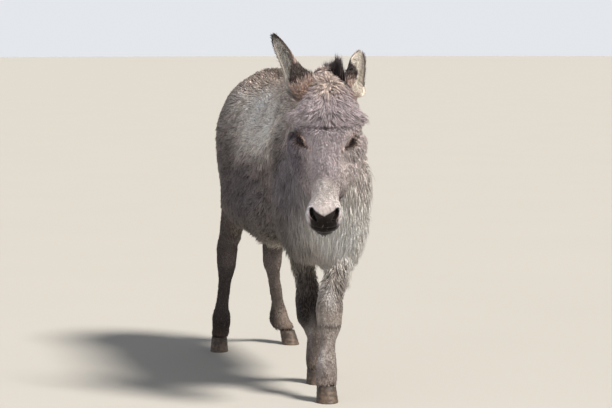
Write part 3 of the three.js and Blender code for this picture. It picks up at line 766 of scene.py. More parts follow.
def coatMaterial(name, settings):
    material, tree, shader = newMaterial(name, {
        "Roughness": settings["roughness"], "Specular IOR Level": settings["gloss"],
        "Sheen Weight": settings["sheen"], "Sheen Roughness": 0.5})
    dye = addNode(tree, "ShaderNodeAttribute", {"attribute_name": "coatColour"})
    where = addNode(tree, "ShaderNodeTexCoord")
    across, along = 1 / settings["across"], 1 / settings["along"]
    lie = addNode(tree, "ShaderNodeMapping", {"Scale": (across, across, along)},
                  {"Vector": where.outputs["Object"]})
    strands = addNode(tree, "ShaderNodeTexNoise", {"Scale": 1.0, "Detail": 3.0, "Roughness": 0.6},
                      {"Vector": lie.outputs[0]})
    vary = settings["vary"]
    level = addNode(tree, "ShaderNodeMapRange", {1: 0.25, 2: 0.75, 3: 1 - vary, 4: 1 + vary},
                    {0: strands.outputs[0]})
    toned = addNode(tree, "ShaderNodeVectorMath", {"operation": "SCALE"},
                    {0: dye.outputs["Color"], 3: level.outputs[0]})
    tree.links.new(toned.outputs[0], shader.inputs["Base Color"])
    if "bump" in settings:
        # where the skin is bare the streaks fade out and the surface is smoother
        bare = addNode(tree, "ShaderNodeAttribute", {"attribute_name": "bareSkin"})
        less = addNode(tree, "ShaderNodeMapRange", {1: 0.0, 2: 1.0, 3: 0.7, 4: 0.15},
                       {0: bare.outputs["Fac"]})
        dent = addNode(tree, "ShaderNodeBump", {"Distance": settings["bump"]},
                       {"Height": strands.outputs[0], "Strength": less.outputs[0]})
        rough, smooth = settings["roughness"], settings["bareRoughness"]
        wet = addNode(tree, "ShaderNodeMapRange", {1: 0.0, 2: 1.0, 3: rough, 4: smooth},
                      {0: bare.outputs["Fac"]})
        tree.links.new(wet.outputs[0], shader.inputs["Roughness"])
        tree.links.new(dent.outputs[0], shader.inputs["Normal"])
    return material


# Hide under short hair: matt, with fine down-lying streaks; the bare lips are smoother
hide = coatMaterial("shortHairedHide", {
    "roughness": 0.86, "gloss": 0.12, "sheen": 0.04, "across": 2.2 * millimetre, "along": 11 * millimetre,
    "vary": 0.16, "bump": 1.2 * millimetre, "bareRoughness": 0.42})
# Donkey hair, weathered: soft highlights along the strands, drawn coarser than real hairs so that they show
hair = coatMaterial("weatheredHair", {
    "roughness": 0.76, "gloss": 0.18, "sheen": 0.16, "across": 1.6 * millimetre, "along": 14 * millimetre,
    "vary": 0.2})
# Mane and tail hair: thicker and sleeker than the coat, so its highlights are tighter
darkHair = coatMaterial("coarseDarkHair", {
    "roughness": 0.55, "gloss": 0.35, "sheen": 0.08, "across": 1.2 * millimetre, "along": 20 * millimetre,
    "vary": 0.25})

skinMesh.materials.append(hide)
linkPiece("skin", skinMesh, fleshNodes)
print("skin: coloured")

# ---- Tufts: closed three-sided blades, many to a mesh

tuft = {
    "sink": 0.9 * millimetre,  # roots start under the skin
    "patch": 0.003,  # side of one tuft's patch on the map
    "brightest": 0.8,
    # share of the width at each ring, by the number of rings
    "blade": {2: (0.75, 1.0), 3: (0.6, 1.0, 0.72), 4: (0.55, 1.0, 0.9, 0.55)},
}


def tuftMesh(name, roots, normals, along, length, width, rise, sag, colours, mapPlace, material, rings=3,
             pull=None, rootShadeTone=0.72, tipTone=1.2):
    # each tuft leaves its root, rises by rise, follows along for length, and sags by sag at its tip;
    # pull draws the tip aside, into a lock
    count = len(roots)
    along = unit(along - normals * np.sum(along * normals, axis=1, keepdims=True))
    side = np.cross(along, normals)
    twist = random.normal(0, 0.35, count)[:, None]
    across = side * np.cos(twist) + normals * np.sin(twist)
    upward = normals * np.cos(twist) - side * np.sin(twist)
    wave = random.normal(0, 0.05, count)[:, None] * length[:, None]
    steps = np.append(np.arange(rings) / rings, 1.0)
    blade = tuft["blade"][rings]
    rows = []
    for index, s in enumerate(steps):
        lifted = rise * (1 - (1 - s) ** 2) - tuft["sink"]
        centre = roots + along * (length * s)[:, None] + normals * lifted[:, None]
        centre = centre + np.array([0, 0, -1.0]) * (sag * s * s)[:, None] + side * wave * math.sin(s * 3.0)
        if pull is not None:
            centre = centre + pull * s ** 1.5
        if index < rings:
            half = (width * blade[index] / 2)[:, None]
            rows += [centre + across * half, centre - across * half, centre + upward * half * 0.75]
        else:
            rows.append(centre)
    perTuft = rings * 3 + 1
    verts = np.stack(rows, axis=1).reshape(-1, 3)
    one = [(0, 2, 1)]
    for k in range(rings - 1):
        for j in range(3):
            a, b = k * 3 + j, k * 3 + (j + 1) % 3
            one += [(a, b, b + 3), (a, b + 3, a + 3)]
    one += [((rings - 1) * 3 + j, (rings - 1) * 3 + (j + 1) % 3, rings * 3) for j in range(3)]
    faces = (np.array(one)[None] + (np.arange(count) * perTuft)[:, None, None]).reshape(-1, 3)
    mesh = bpy.data.meshes.new(name)
    mesh.vertices.add(len(verts))
    mesh.vertices.foreach_set("co", verts.astype(np.float32).ravel())
    mesh.loops.add(faces.size)
    mesh.loops.foreach_set("vertex_index", faces.astype(np.int32).ravel())
    mesh.polygons.add(len(faces))
    mesh.polygons.foreach_set("loop_start", np.arange(0, faces.size, 3, dtype=np.int32))
    mesh.update(calc_edges=True)
    mesh.shade_smooth()
    stepOf = np.append(np.repeat(steps[:rings], 3), 1.0)
    # the roots are darkened as painted shade between the tufts; the tips are lightened, partly their own
    # paler colour and partly painted light
    tone = rootShadeTone + (tipTone - rootShadeTone) * stepOf ** 0.8
    dye = colours[:, None, :] * tone[None, :, None]
    paintPoints(mesh, "coatColour", dye.reshape(-1, 3).clip(0, tuft["brightest"]))
    sideOf = np.append(np.tile([0.5, -0.5, 0.0], rings), 0.0)
    places = mapPlace[:, None, :] + np.stack([sideOf, stepOf - 0.5], axis=1)[None] * tuft["patch"]
    mesh.uv_layers.new(name="OFBake").uv.foreach_set(
        "vector", places.reshape(-1, 2)[faces.ravel()].clip(0, 1).astype(np.float32).ravel())
    mesh.materials.append(material)
    return mesh


def gather(roots, tips, every, strength, reach):
    # tips lean to the tip of the nearest leading tuft, so the coat falls in locks
    leaders = np.arange(0, len(roots), every) + random.integers(0, every, len(range(0, len(roots), every)))
    leaders = leaders[leaders < len(roots)]
    finder = kdtree.KDTree(len(leaders))
    for index, leader in enumerate(leaders):
        finder.insert(roots[leader], index)
    finder.balance()
    found = [finder.find(p) for p in roots]
    chosen = leaders[[f[1] for f in found]]
    away = np.array([f[2] for f in found])
    return (tips[chosen] - tips) * (strength * smoothStep(reach, reach * 0.5, away))[:, None]


# ---- Where the coat grows, how long it is and which way it lies

coatLength = (19.0, 44.0, 38.0, 21.0, 21.0, 11.5)  # mm, by region
lengthSpots = [
    ("head", (0, -10, -95), (150, 110, 84), 0.3, 44.0),
    ("head", (0, 0, 0), (60, 60, 50), 0.4, 27.0),
    ("head", (0, -60, -400), (64, 90, 66), 0.4, 9.0),
    ("head", (0, -60, -490), (66, 120, 72), 0.3, 4.5),
    ("head", (100, 30, -262), (36, 80, 76), 0.5, 34.0),
    ("head", (-100, 30, -262), (36, 80, 76), 0.5, 34.0),
    ("head", (75, -52, -216), (26, 34, 21), 0.3, 6.0),
    ("head", (-75, -52, -216), (26, 34, 21), 0.3, 6.0),
    ("head", (0, 90, -330), (110, 60, 140), 0.4, 24.0),
    ("body", (0, -500, 640), (230, 230, 200), 0.4, 84.0),
    ("body", (0, -400, 500), (150, 190, 50), 0.5, 46.0),
    ("body", (0, 100, 485), (240, 390, 85), 0.4, 58.0),
    ("body", (0, 200, 1150), (180, 560, 110), 0.5, 34.0),
    ("body", (0, 640, 860), (240, 130, 300), 0.5, 28.0),
    ("body", (0, -350, 66), (400, 350, 26), 0.4, 21.0),
    ("body", (0, 670, 66), (400, 250, 26), 0.4, 21.0),
    ("body", (0, -490, 96), (100, 34, 34), 0.5, 24.0),
    ("body", (0, -120, 96), (100, 34, 34), 0.5, 24.0),
    ("body", (110, 830, 96), (60, 40, 34), 0.5, 24.0),
    ("body", (-170, 700, 106), (60, 40, 34), 0.5, 24.0),
]
lieWander = (0.14, 0.42, 0.42, 0.2, 0.2, 0.1)  # radians, by region
riseSpots = [  # extra mm that tips stand out
    ("head", (100, 30, -262), (40, 80, 72), 0.5, 13.0),
    ("head", (-100, 30, -262), (40, 80, 72), 0.5, 13.0),
    ("body", (0, 140, 475), (230, 360, 55), 0.3, 20.0),
    ("body", (-235, 300, 900), (60, 380, 230), 0.5, 6.0),
    ("body", (235, 300, 900), (60, 380, 230), 0.5, 5.0),
    ("body", (0, 150, 1160), (150, 560, 60), 0.5, 5.0),
    ("body", (175, -480, 790), (80, 190, 160), 0.6, -16.0),  # flatter hair at the side of the neck
]


def lieOfCoat(points, normals, weights, inHead):
    count = len(points)
    x, y, z = points.T
    onTop = smoothStep(0.35, 0.85, normals[:, 2])[:, None]
    under = smoothStep(-0.3, -0.8, normals[:, 2])[:, None]
    sign = np.sign(x)[:, None]
    high = smoothStep(0.8, 0.95, z)
    flank = np.stack([np.zeros(count), 0.55 + 0.4 * high, 0.5 * high - 0.83], axis=1)
    rump = smoothStep(0.42, 0.62, y)[:, None]
    flank = flank * (1 - rump) + np.array([0.0, 0.1, -1.0]) * rump
    back = np.array([0.0, 1.0, -0.05]) + sign * np.array([0.35, 0, 0])
    trunk = flank * (1 - onTop) + back * onTop
    trunk = trunk * (1 - under) + np.array([0.0, 0.75, -0.3]) * under
    breast = smoothStep(-0.36, -0.5, y)[:, None] * smoothStep(0.2, -0.4, normals[:, 1])[:, None]
    neck = np.tile([0.0, 0.35, -0.94], (count, 1)) * (1 - breast)
    neck = neck + (np.array([0.0, -0.05, -1.0]) + x[:, None] * np.array([0.7, 0, 0])) * breast
    leg = np.tile([0.0, 0.12, -1.0], (count, 1))
    hx, hy, hz = inHead.T
    fringe = smoothStep(-192, -168, hz)[:, None]
    parting = np.stack([hx / 30, np.full(count, 0.05), np.full(count, -1.0)], axis=1)
    face = np.stack([hx / 150, np.clip((hy - 10) / 90, 0, 1.1), np.full(count, -1.0)], axis=1)
    crown = smoothStep(-52, -8, hz)[:, None]
    lifted = np.stack([hx / 60, np.full(count, -0.6), np.full(count, 0.4)], axis=1)
    head = face * (1 - fringe) + (parting * (1 - crown) + lifted * crown) * fringe
    flow = weights[:, 0:1] * turnFromHead(unit(head)) + weights[:, 1:2] * unit(neck)
    flow = flow + weights[:, 2:3] * unit(trunk) + weights[:, 3:].sum(axis=1, keepdims=True) * unit(leg)
    # unkempt: the lie wanders in swirls on the body and stays neat on the face and legs
    wander = weights @ np.array(lieWander) + (0.2 * fringe + 0.5 * crown)[:, 0] * weights[:, 0]
    wander = wander * (1 - 0.6 * breast[:, 0])
    angle = wander * (ripple(points, 0.2, 11) + 0.4 * ripple(points, 0.08, 12))
    flow = unit(flow - normals * np.sum(flow * normals, axis=1, keepdims=True))
    swing = np.cross(normals, flow)
    return flow * np.cos(angle)[:, None] + swing * np.sin(angle)[:, None]


coatPieces = {
    # name: tufts, rings, width in mm, tufts to a lock, how far tips gather, tone of roots (painted shade),
    # tone of tips (partly painted light)
    "coatForehead": (9600, 3, 2.3, 11, 0.55, 0.46, 1.4),
    "coatFace": (13600, 2, 2.1, 6, 0.25, 0.53, 1.32),
    "coatNeckRight": (10800, 2, 3.5, 9, 0.4, 0.52, 1.38),
    "coatNeckLeft": (8400, 2, 3.2, 7, 0.35, 0.64, 1.25),
    "coatBreast": (9800, 3, 2.4, 6, 0.35, 0.70, 1.5),
    "coatFlankRight": (12400, 2, 3.4, 9, 0.4, 0.5, 1.42),
    "coatFlankLeft": (8700, 2, 3.8, 9, 0.4, 0.52, 1.4),
    "coatBack": (7500, 2, 3.6, 8, 0.35, 0.55, 1.32),
    "coatBelly": (4700, 2, 4.0, 9, 0.5, 0.55, 1.3),
    "coatHaunchRight": (8600, 2, 3.4, 9, 0.4, 0.52, 1.42),
    "coatHaunchLeft": (6300, 2, 3.6, 9, 0.4, 0.52, 1.4),
    "coatForelegs": (9400, 2, 2.3, 6, 0.3, 0.5, 1.5),
    "coatHindlegs": (10800, 2, 2.4, 6, 0.3, 0.5, 1.5),
}


def pieceOfFace(points, normals, weights, inHead):
    names = list(coatPieces)
    x, y, z = points.T
    region = weights.argmax(axis=1)
    piece = np.full(len(points), names.index("coatFlankRight"))
    body = region == 2
    piece[body & (x > 0)] = names.index("coatFlankLeft")
    piece[body & (y > 0.3) & (x <= 0)] = names.index("coatHaunchRight")
    piece[body & (y > 0.3) & (x > 0)] = names.index("coatHaunchLeft")
    piece[body & (normals[:, 2] > 0.62)] = names.index("coatBack")
    piece[body & (normals[:, 2] < -0.35) & (y < 0.45)] = names.index("coatBelly")
    neck = region == 1
    piece[neck & (x <= -0.04)] = names.index("coatNeckRight")
    piece[neck & (x > -0.04)] = names.index("coatNeckLeft")
    piece[(neck | body) & (z < 0.74) & (y < -0.34)] = names.index("coatBreast")
    head = region == 0
    piece[head] = names.index("coatFace")
    piece[head & (inHead[:, 2] > -182)] = names.index("coatForehead")
    piece[(region == 3) | ((region == 5) & (y < 0.1))] = names.index("coatForelegs")
    piece[(region == 4) | ((region == 5) & (y >= 0.1))] = names.index("coatHindlegs")
    return piece


def growCoat():
    skinMesh.calc_loop_triangles()
    count = len(skinMesh.loop_triangles)
    corners = np.empty(count * 3, np.int32)
    skinMesh.loop_triangles.foreach_get("vertices", corners)
    loops = np.empty(count * 3, np.int32)
    skinMesh.loop_triangles.foreach_get("loops", loops)
    corners, loops = corners.reshape(-1, 3), loops.reshape(-1, 3)
    flatMap = np.empty(len(skinMesh.loops) * 2, np.float32)
    skinMesh.uv_layers["OFBake"].uv.foreach_get("vector", flatMap)
    maps = flatMap.reshape(-1, 2)[loops].astype(float)
    tri = skinPoints[corners]
    area = np.linalg.norm(np.cross(tri[:, 1] - tri[:, 0], tri[:, 2] - tri[:, 0]), axis=1) / 2
    middle = tri.mean(axis=1)
    middleNormal = unit(skinNormals[corners].mean(axis=1))
    middleWeights = skinWeights[corners].mean(axis=1)
    middleHead = toHead(middle)
    pieceIndex = pieceOfFace(middle, middleNormal, middleWeights, middleHead)
    lengths = fieldFrom(middleWeights @ np.array(coatLength), lengthSpots, middle)
    # no tufts between the lids, in the nostrils or on the bare lips
    closed = np.zeros(count)
    for side in (-1, 1):
        distance, _, _, edge = roundTheEye(middleHead, side)
        closed = np.maximum(closed, (distance < 34) * (edge < 1.2))
    gap = distanceToLine(np.abs(middleHead[:, 0]), middleHead[:, 2], nostril["line"])
    closed = np.maximum(closed, (gap < 3.0) * (middleHead[:, 1] < 5) * (middleHead[:, 2] < -415))
    bare = bareSkin[corners].mean(axis=1)
    haired = (1 - closed) * (1 - 0.96 * bare)
    for index, (name, numbers) in enumerate(coatPieces.items()):
        tufts, rings, wide, every, strength, rootShadeTone, tipTone = numbers
        share = np.where(pieceIndex == index, area * haired / np.maximum(lengths, 4.0) ** 0.8, 0.0)
        total = np.cumsum(share)
        picks = (np.arange(tufts) + random.random(tufts)) / tufts * total[-1]
        face = np.searchsorted(total, picks).clip(0, count - 1)
        u, v = random.random(tufts), random.random(tufts)
        flip = u + v > 1
        u, v = np.where(flip, 1 - u, u), np.where(flip, 1 - v, v)
        bary = np.stack([1 - u - v, u, v], axis=1)[:, :, None]
        roots = (tri[face] * bary).sum(axis=1)
        normals = unit((skinNormals[corners[face]] * bary).sum(axis=1))
        weights = (skinWeights[corners[face]] * bary).sum(axis=1)
        places = (maps[face] * bary).sum(axis=1)
        inHead = toHead(roots)
        flow = lieOfCoat(roots, normals, weights, inHead)
        jitter = 0.1 if name == "coatBreast" else 0.16  # the breast hangs straighter
        flow = unit(flow + jitter * random.normal(size=(tufts, 3)))
        length = fieldFrom(weights @ np.array(coatLength), lengthSpots, roots)
        length = length * random.uniform(0.65, 1.25, tufts) * millimetre
        depth = fieldFrom(weights @ np.array(coatDepth), depthSpots, roots) * millimetre
        if name == "coatForehead":  # the fringe shortens to its lower edge
            length = length * (1 - 0.45 * smoothStep(-120, -172, inHead[:, 2]))
            depth = depth * (1 - 0.6 * smoothStep(-110, -172, inHead[:, 2]))
        rise = np.minimum(depth * random.uniform(0.45, 1.1, tufts), length * 0.72)
        rise = np.maximum(rise, (1.6 + 0.05 * length / millimetre) * millimetre)
        extra = fieldFrom(np.zeros(tufts), riseSpots, roots) * millimetre
        rise += extra * random.uniform(0.2, 1.4, tufts)
        sag = length * 0.22 * smoothStep(0.03, 0.07, length)
        # short hairs are thinner, and fine pieces reach their full width at a shorter length
        fullAt = 0.009 if wide < 3 else 0.03
        width = wide * millimetre * random.uniform(0.7, 1.3, tufts) * np.clip(length / fullAt, 0.45, 1.15)
        flat = unit(flow - normals * np.sum(flow * normals, axis=1, keepdims=True))
        tips = roots + flat * length[:, None] + normals * rise[:, None]
        pull = gather(roots, tips, every, strength, 0.05)
        colours = mixedColour(roots, weights) * random.normal(1, 0.13, tufts).clip(0.6, 1.4)[:, None]
        streak = ripple(roots * np.array([1, 1, 0.4]), 0.017, 7)  # locks of differing tone
        onBody, onLegs = weights[:, 1] + weights[:, 2], weights[:, 3:].sum(axis=1)
        colours *= (1 + streak * (0.11 + 0.22 * onBody + 0.14 * onLegs))[:, None]
        mesh = tuftMesh(name, roots, normals, flow, length * 0.95, width, rise, sag, colours, places, hair,
                        rings, pull, rootShadeTone=rootShadeTone, tipTone=tipTone)
        linkPiece(name, mesh)
        print("coat:", name, tufts, "tufts,", len(mesh.polygons), "triangles")


growCoat()

# ---- Eyes: a wet ball with a dark brown iris and an oblong pupil lying level

eyeLook = {"pupil": "#030202", "iris": "#1f100a", "irisEdge": "#080504", "white": "#1e1512",
           "irisHalf": 14.5, "pupilLong": 8.0, "pupilHigh": 4.2, "bulge": 1.3}


def buildEyes():
    # a wet cornea: sharp small highlights over a dark iris
    glass, tree, shader = newMaterial("wetEyeball", {
        "Roughness": 0.3, "IOR": 1.376, "Specular IOR Level": 0.1,
        "Coat Weight": 0.35, "Coat Roughness": 0.03})
    dye = addNode(tree, "ShaderNodeAttribute", {"attribute_name": "coatColour"})
    tree.links.new(dye.outputs["Color"], shader.inputs["Base Color"])
    radius = headPose["eyeRadius"]
    for side, name in ((1, "left"), (-1, "right")):
        gaze, _, _ = lidAxes(side)
        level = unit(np.cross([0, 0, 1.0], gaze))
        ball = bmesh.new()
        bmesh.ops.create_uvsphere(ball, u_segments=48, v_segments=32, radius=radius)
        points = pointsOf(ball)
        ray = unit(points)
        facing = ray @ gaze
        points = points * (1 + eyeLook["bulge"] / radius * smoothStep(0.70, 0.98, facing))[:, None]
        movePoints(ball, fromHead(points + eyeCentre(side)))
        bmesh.ops.recalc_face_normals(ball, faces=ball.faces)
        mesh = meshFrom(ball, "eye_" + name)
        mesh.shade_smooth()
        out = np.degrees(np.arccos(facing.clip(-1, 1))) / 90 * radius * 1.5
        a, b = ray @ level * radius, (ray @ np.cross(gaze, level)) * radius
        oblong = np.hypot(a / eyeLook["pupilLong"], b / eyeLook["pupilHigh"])
        pupil = smoothStep(1.25, 0.85, oblong) * (facing > 0)
        iris = eyeLook["irisHalf"]
        colour = evenColour(eyeLook["white"], len(ray))
        colour = blend(colour, eyeLook["irisEdge"], smoothStep(iris + 1.5, iris, out))
        colour = blend(colour, eyeLook["iris"], smoothStep(iris - 1, iris - 4, out))
        colour = blend(colour, eyeLook["pupil"], pupil)
        paintPoints(mesh, "coatColour", colour)
        mesh.materials.append(glass)
        linkPiece("eye" + name.capitalize(), mesh, ["eye_" + name])


buildEyes()
print("eyes: built")

# ---- Lofted bodies: a grid rolled into a closed tube, with its ends shut and its colours on its points


def sweptShell(name, place, tint, around, along, material):
    # place(u, t) gives points in metres; u runs once round and t from end to end
    bm = bmesh.new()
    bmesh.ops.create_grid(bm, x_segments=around, y_segments=along, size=0.5)
    flat = pointsOf(bm)
    u, t = flat[:, 0] + 0.5, flat[:, 1] + 0.5
    u = np.where(u > 0.9999, 0.0, u)  # the last column lies on the first
    movePoints(bm, place(u, t))
    dye = bm.verts.layers.float_color.new("coatColour")
    for vert, colour in zip(bm.verts, tint(u, t)):
        vert[dye] = (*colour, 1.0)
    bmesh.ops.remove_doubles(bm, verts=bm.verts, dist=0.02 * millimetre)
    bmesh.ops.holes_fill(bm, edges=[e for e in bm.edges if e.is_boundary], sides=0)
    bmesh.ops.recalc_face_normals(bm, faces=bm.faces)
    mesh = meshFrom(bm, name)
    mesh.shade_smooth()
    mesh.materials.append(material)
    return mesh


def smoothCurve(points, t):
    # Catmull-Rom through the points, evenly in its own parameter
    points = np.array(points, float)
    padded = np.vstack([2 * points[0] - points[1], points, 2 * points[-1] - points[-2]])
    spans = len(points) - 1
    place = np.clip(t, 0, 1) * spans
    index = np.minimum(place.astype(int), spans - 1)
    f = (place - index)[:, None]
    a, b, c, d = (padded[index + k] for k in range(4))
    bend, twist = 2 * a - 5 * b + 4 * c - d, 3 * b - a - 3 * c + d
    return 0.5 * (2 * b + (c - a) * f + bend * f ** 2 + twist * f ** 3)


# ---- Ears: leaves rolled into cups, hairy outside, with long pale hair across the lining

solidsShift = poll * 1000 - np.array([-71.0, -722.0, 1133.0])  # from the solids' own drawing origin, mm
outwards = {"left": 1, "right": -1}  # sign of x away from the middle
ear = {
    "length": 256.0, "halfWidth": 57.0, "wall": 5.5,
    "from": -0.052,  # the shell starts a little under the skin
    "flare": 0.02, "wrapLow": 2.35, "wrapHigh": 1.15,  # half angle of the cup at its foot and near its tip
    "lining": "#dcd4c9", "rib": "#3d3430", "rim": "#33261f", "point": "#1f1715", "back": "#a89690",
    "base": "#93796a", "patch": "#2c201b",
    "left": {
        "root": (3, -674, 1062), "tip": (104, -502, 1226), "opening": (0.48, -0.72, 0.50), "roll": 46.0,
        "bulge": 0.0, "tuck": 0.3, "waist": 0.5, "lean": (-34.0, -6.0, 3.0),
        "rimFade": (0.8, 0.95), "patchTop": (0.95, 0.6), "pointTone": 0.45,
        "innerEdge": (-1.0, 0.15), "outerEdge": (0.3, 1.0), "outerTufts": 120},
    "right": {
        "root": (-128, -694, 1072), "tip": (-236, -606, 1284), "opening": (-0.7, -0.7, -0.1), "roll": 36.0,
        "bulge": 23.0,  # mm that the inner edge swells low down
        "tuck": 0.35,  # share that the outer edge draws in at the foot
        "waist": 0.1,  # share that the foot narrows
        "lean": (0.0, 0.0, 0.0),  # mm that the foot is set aside
        "rimFade": (0.62, 0.85), "patchTop": (0.52, 0.36), "pointTone": 0.9,
        "innerEdge": (-0.15, 1.0), "outerEdge": (-1.0, -0.3), "outerTufts": 450},
}


def earWrap(t):
    return ear["wrapLow"] + (ear["wrapHigh"] - ear["wrapLow"]) * smoothStep(0, 0.7, t)


def earAxes(side, t):
    # root, axis, way the cup faces and way across it
    place = ear[side]
    root = np.array(place["root"]) + solidsShift
    axis = unit(np.array(place["tip"], float) - np.array(place["root"]))
    face = turnFromHead(np.array(place["opening"]))
    face = unit(face - axis * (face @ axis))
    across = np.cross(axis, face)
    # low down, the cup is turned further to the side
    turn = (outwards[side] * math.radians(place["roll"]) * (1 - smoothStep(0.2, 1, t)))[:, None]
    turnedFace = face * np.cos(turn) + across * np.sin(turn)
    return root, axis, turnedFace, across * np.cos(turn) - face * np.sin(turn)


def earPoint(side, t, share, inside):
    # share from -1 to 1 across the leaf; inside is the lining
    shape = ear[side]
    root, axis, face, across = earAxes(side, t)
    leaf = np.maximum(0, np.sin(math.pi * np.clip(0.05 + 0.95 * t, 0, 1) ** 0.8))
    flare = 1 + ear["flare"] * (1 - smoothStep(0.1, 0.4, t))
    half = ear["halfWidth"] * leaf ** 0.55 * (1 - 0.34 * t) * flare + 1.0
    half = half * (1 - shape["waist"] * (1 - smoothStep(-0.05, 0.32, t)))
    wrap = earWrap(t)
    phi = share * wrap
    radius = half / np.sin(np.minimum(wrap, math.pi / 2))
    rim = 1 - 0.5 * np.abs(share) ** 6
    r = radius - np.where(inside, np.minimum(ear["wall"], radius * 0.5) * rim, 0)
    ribs = 1.1 * np.cos(share * 3.2 * math.pi) * leaf * smoothStep(1, 0.7, np.abs(share))
    medial = -share * outwards[side]
    r = r + np.where(inside, ribs, 0) - 1.5 * leaf * ~inside
    r = r + shape["bulge"] * np.exp(-((medial - 0.3) / 0.5) ** 2) * np.exp(-((t - 0.21) / 0.14) ** 2)
    r = r * (1 - shape["tuck"] * (1 - smoothStep(0.0, 0.26, t)) * smoothStep(0.1, 0.8, -medial))
    root = root + np.array(shape["lean"]) * (1 - smoothStep(0.0, 0.42, t))[:, None]
    return (root + axis * (t * ear["length"])[:, None] + across * (np.sin(phi) * r)[:, None]
            + face * (radius * 0.55 - np.cos(phi) * r)[:, None]) * millimetre


def earTint(side, t, share, inside):
    shape = ear[side]
    medial = -share * outwards[side]  # 1 at the edge towards the other ear
    colour = evenColour(ear["back"], len(t))
    colour = blend(colour, ear["lining"], inside)
    middle = smoothStep(0.9, 0.2, np.abs(share))
    ribs = smoothStep(0.15, 0.75, np.sin(t * 62 + share * 4) * 0.5 + 0.5) * middle
    colour = blend(colour, ear["rib"], inside * ribs * 0.9)
    # painted shade deep in the cup: the lining darkened at its foot
    colour = blend(colour, ear["patch"], inside * smoothStep(0.3, 0.12, t) * 0.7)
    if side == "left":  # the lining is tan at the foot
        foot = inside * smoothStep(0.36, 0.2, t) * smoothStep(-0.98, -0.8, medial)
        colour = blend(colour, ear["base"], foot * 0.85)
    paleEdge = ~inside * smoothStep(-0.8, -0.95, medial) * smoothStep(0.85, 0.7, t) * smoothStep(0.16, 0.3, t)
    colour = blend(colour, ear["lining"], paleEdge * 0.8)
    darkSide = medial if side == "right" else -medial * (t > 0.45)
    darkEdge = smoothStep(*shape["rimFade"], darkSide) * smoothStep(0.2, 0.4, t)
    colour = blend(colour, ear["rim"], darkEdge * 0.9)
    colour = blend(colour, ear["base"], ~inside * smoothStep(0.22, 0.06, t) * 0.7)
    patch = ~inside * smoothStep(-0.5, 0.1, medial)
    patch = patch * smoothStep(*shape["patchTop"], t) * smoothStep(0.14, 0.24, t)
    colour = blend(colour, ear["patch"], patch * 0.95)
    return blend(colour, ear["point"], smoothStep(0.86, 0.93, t) * shape["pointTone"])


def earFrame(side, t, share, inside):
    # the surface's own point, outward normal and the way to the tip
    point = earPoint(side, t, share, inside)
    toTip = unit(earPoint(side, np.minimum(t + 0.01, 1), share, inside) - point)
    acrossIt = unit(earPoint(side, t, share + 0.02, inside) - point)
    normal = unit(np.cross(acrossIt, toTip))
    _, _, face, across = earAxes(side, t)
    phi = share * earWrap(t)
    outward = across * np.sin(phi)[:, None] - face * np.cos(phi)[:, None]
    outward = np.where(inside[:, None], -outward, outward)
    normal = normal * np.sign(np.sum(normal * outward, axis=1, keepdims=True))
    return point, normal, toTip, acrossIt


def earTufts(side, row):
    # one set of tufts: point, normal, way, length, width, lift, colour and place on the map of each
    tufts, lining, shares, spans, long, wide, lift, slant = row
    t = random.uniform(spans[0], spans[1], tufts)
    share = random.uniform(shares[0], shares[1], tufts)
    inside = np.full(tufts, lining)
    point, normal, toTip, acrossIt = earFrame(side, np.clip(t, 0.02, 0.985), share, inside)
    way = unit(toTip + acrossIt * slant + 0.25 * random.normal(size=(tufts, 3)))
    if t.min() < 0.02:  # below the foot, tufts are set straight down from it
        point = point + toTip * (np.minimum(t, 0.02) * ear["length"] * millimetre)[:, None]
    tone = earTint(side, t, share, inside)
    if lining:
        paler = random.uniform(0, 0.6, tufts) * smoothStep(0.2, 0.45, t) * smoothStep(0.9, 0.82, t)
        tone = blend(tone, ear["lining"], paler)
    tone = tone * random.normal(1, 0.14, tufts).clip(0.6, 1.4)[:, None]
    size = random.uniform(0.6, 1.25, tufts)
    mapPlace = np.stack([0.5 + share * 0.2 + lining * 0.25, t * 0.9 + 0.05], axis=1)
    return (point, normal, way, size * long * millimetre, size * wide * millimetre, size * lift * millimetre,
            tone, mapPlace)


def buildEars():
    for side in ("left", "right"):
        def rolled(u, t):
            # once round the shell: the back from edge to edge, then the lining
            inside = u > 0.5
            return ear["from"] + (1 - ear["from"]) * t, np.where(inside, 3 - 4 * u, 4 * u - 1), inside

        def place(u, t, side=side):
            return earPoint(side, *rolled(u, t))

        def tint(u, t, side=side):
            return earTint(side, *rolled(u, t))

        mesh = sweptShell("ear_" + side, place, tint, 72, 44, hide)
        linkPiece("ear" + side.capitalize(), mesh, ["ear_" + side])
        shape = ear[side]
        sets = (  # tufts, inside, share range, t range, length, width, outward rise, across
            (1500, False, (-1, 1), (0.06, 0.98), 11, 1.5, 2.0, 0.0),
            (700, False, (-1, 1), (-0.08, 0.16), 22, 2.0, 6.0, 0.0),
            (700, False, shape["innerEdge"], (0.0, 0.42), 18, 1.9, 6.0, 0.0),
            (680, True, (0.35, 0.98), (0.1, 0.93), 26, 1.5, 5.0, -0.75),
            (680, True, (-0.98, -0.35), (0.1, 0.93), 26, 1.5, 5.0, 0.75),
            (600, True, (-0.7, 0.7), (0.15, 0.92), 16, 1.3, 2.5, 0.1),
            (shape["outerTufts"], True, shape["outerEdge"], (0.0, 0.34), 22, 1.9, 6.0, 0.0),
            (300, False, (0.9, 1.0), (0.1, 0.99), 12, 1.4, 2.0, 0.5),
            (300, False, (-1.0, -0.9), (0.1, 0.99), 12, 1.4, 2.0, -0.5),
        )
        grown = zip(*[earTufts(side, row) for row in sets])
        point, normal, way, long, wide, lift, tone, spots = (np.concatenate(part) for part in grown)
        mesh = tuftMesh("coatEar" + side.capitalize(), point, normal, way, long, wide, lift, long * 0.0, tone,
                        spots.clip(0, 1), hair, 2)
        linkPiece("coatEar" + side.capitalize(), mesh)


buildEars()
print("ears: built")

# ---- Mane: short upright dark hair from the withers to the poll, ending in a spiky tuft

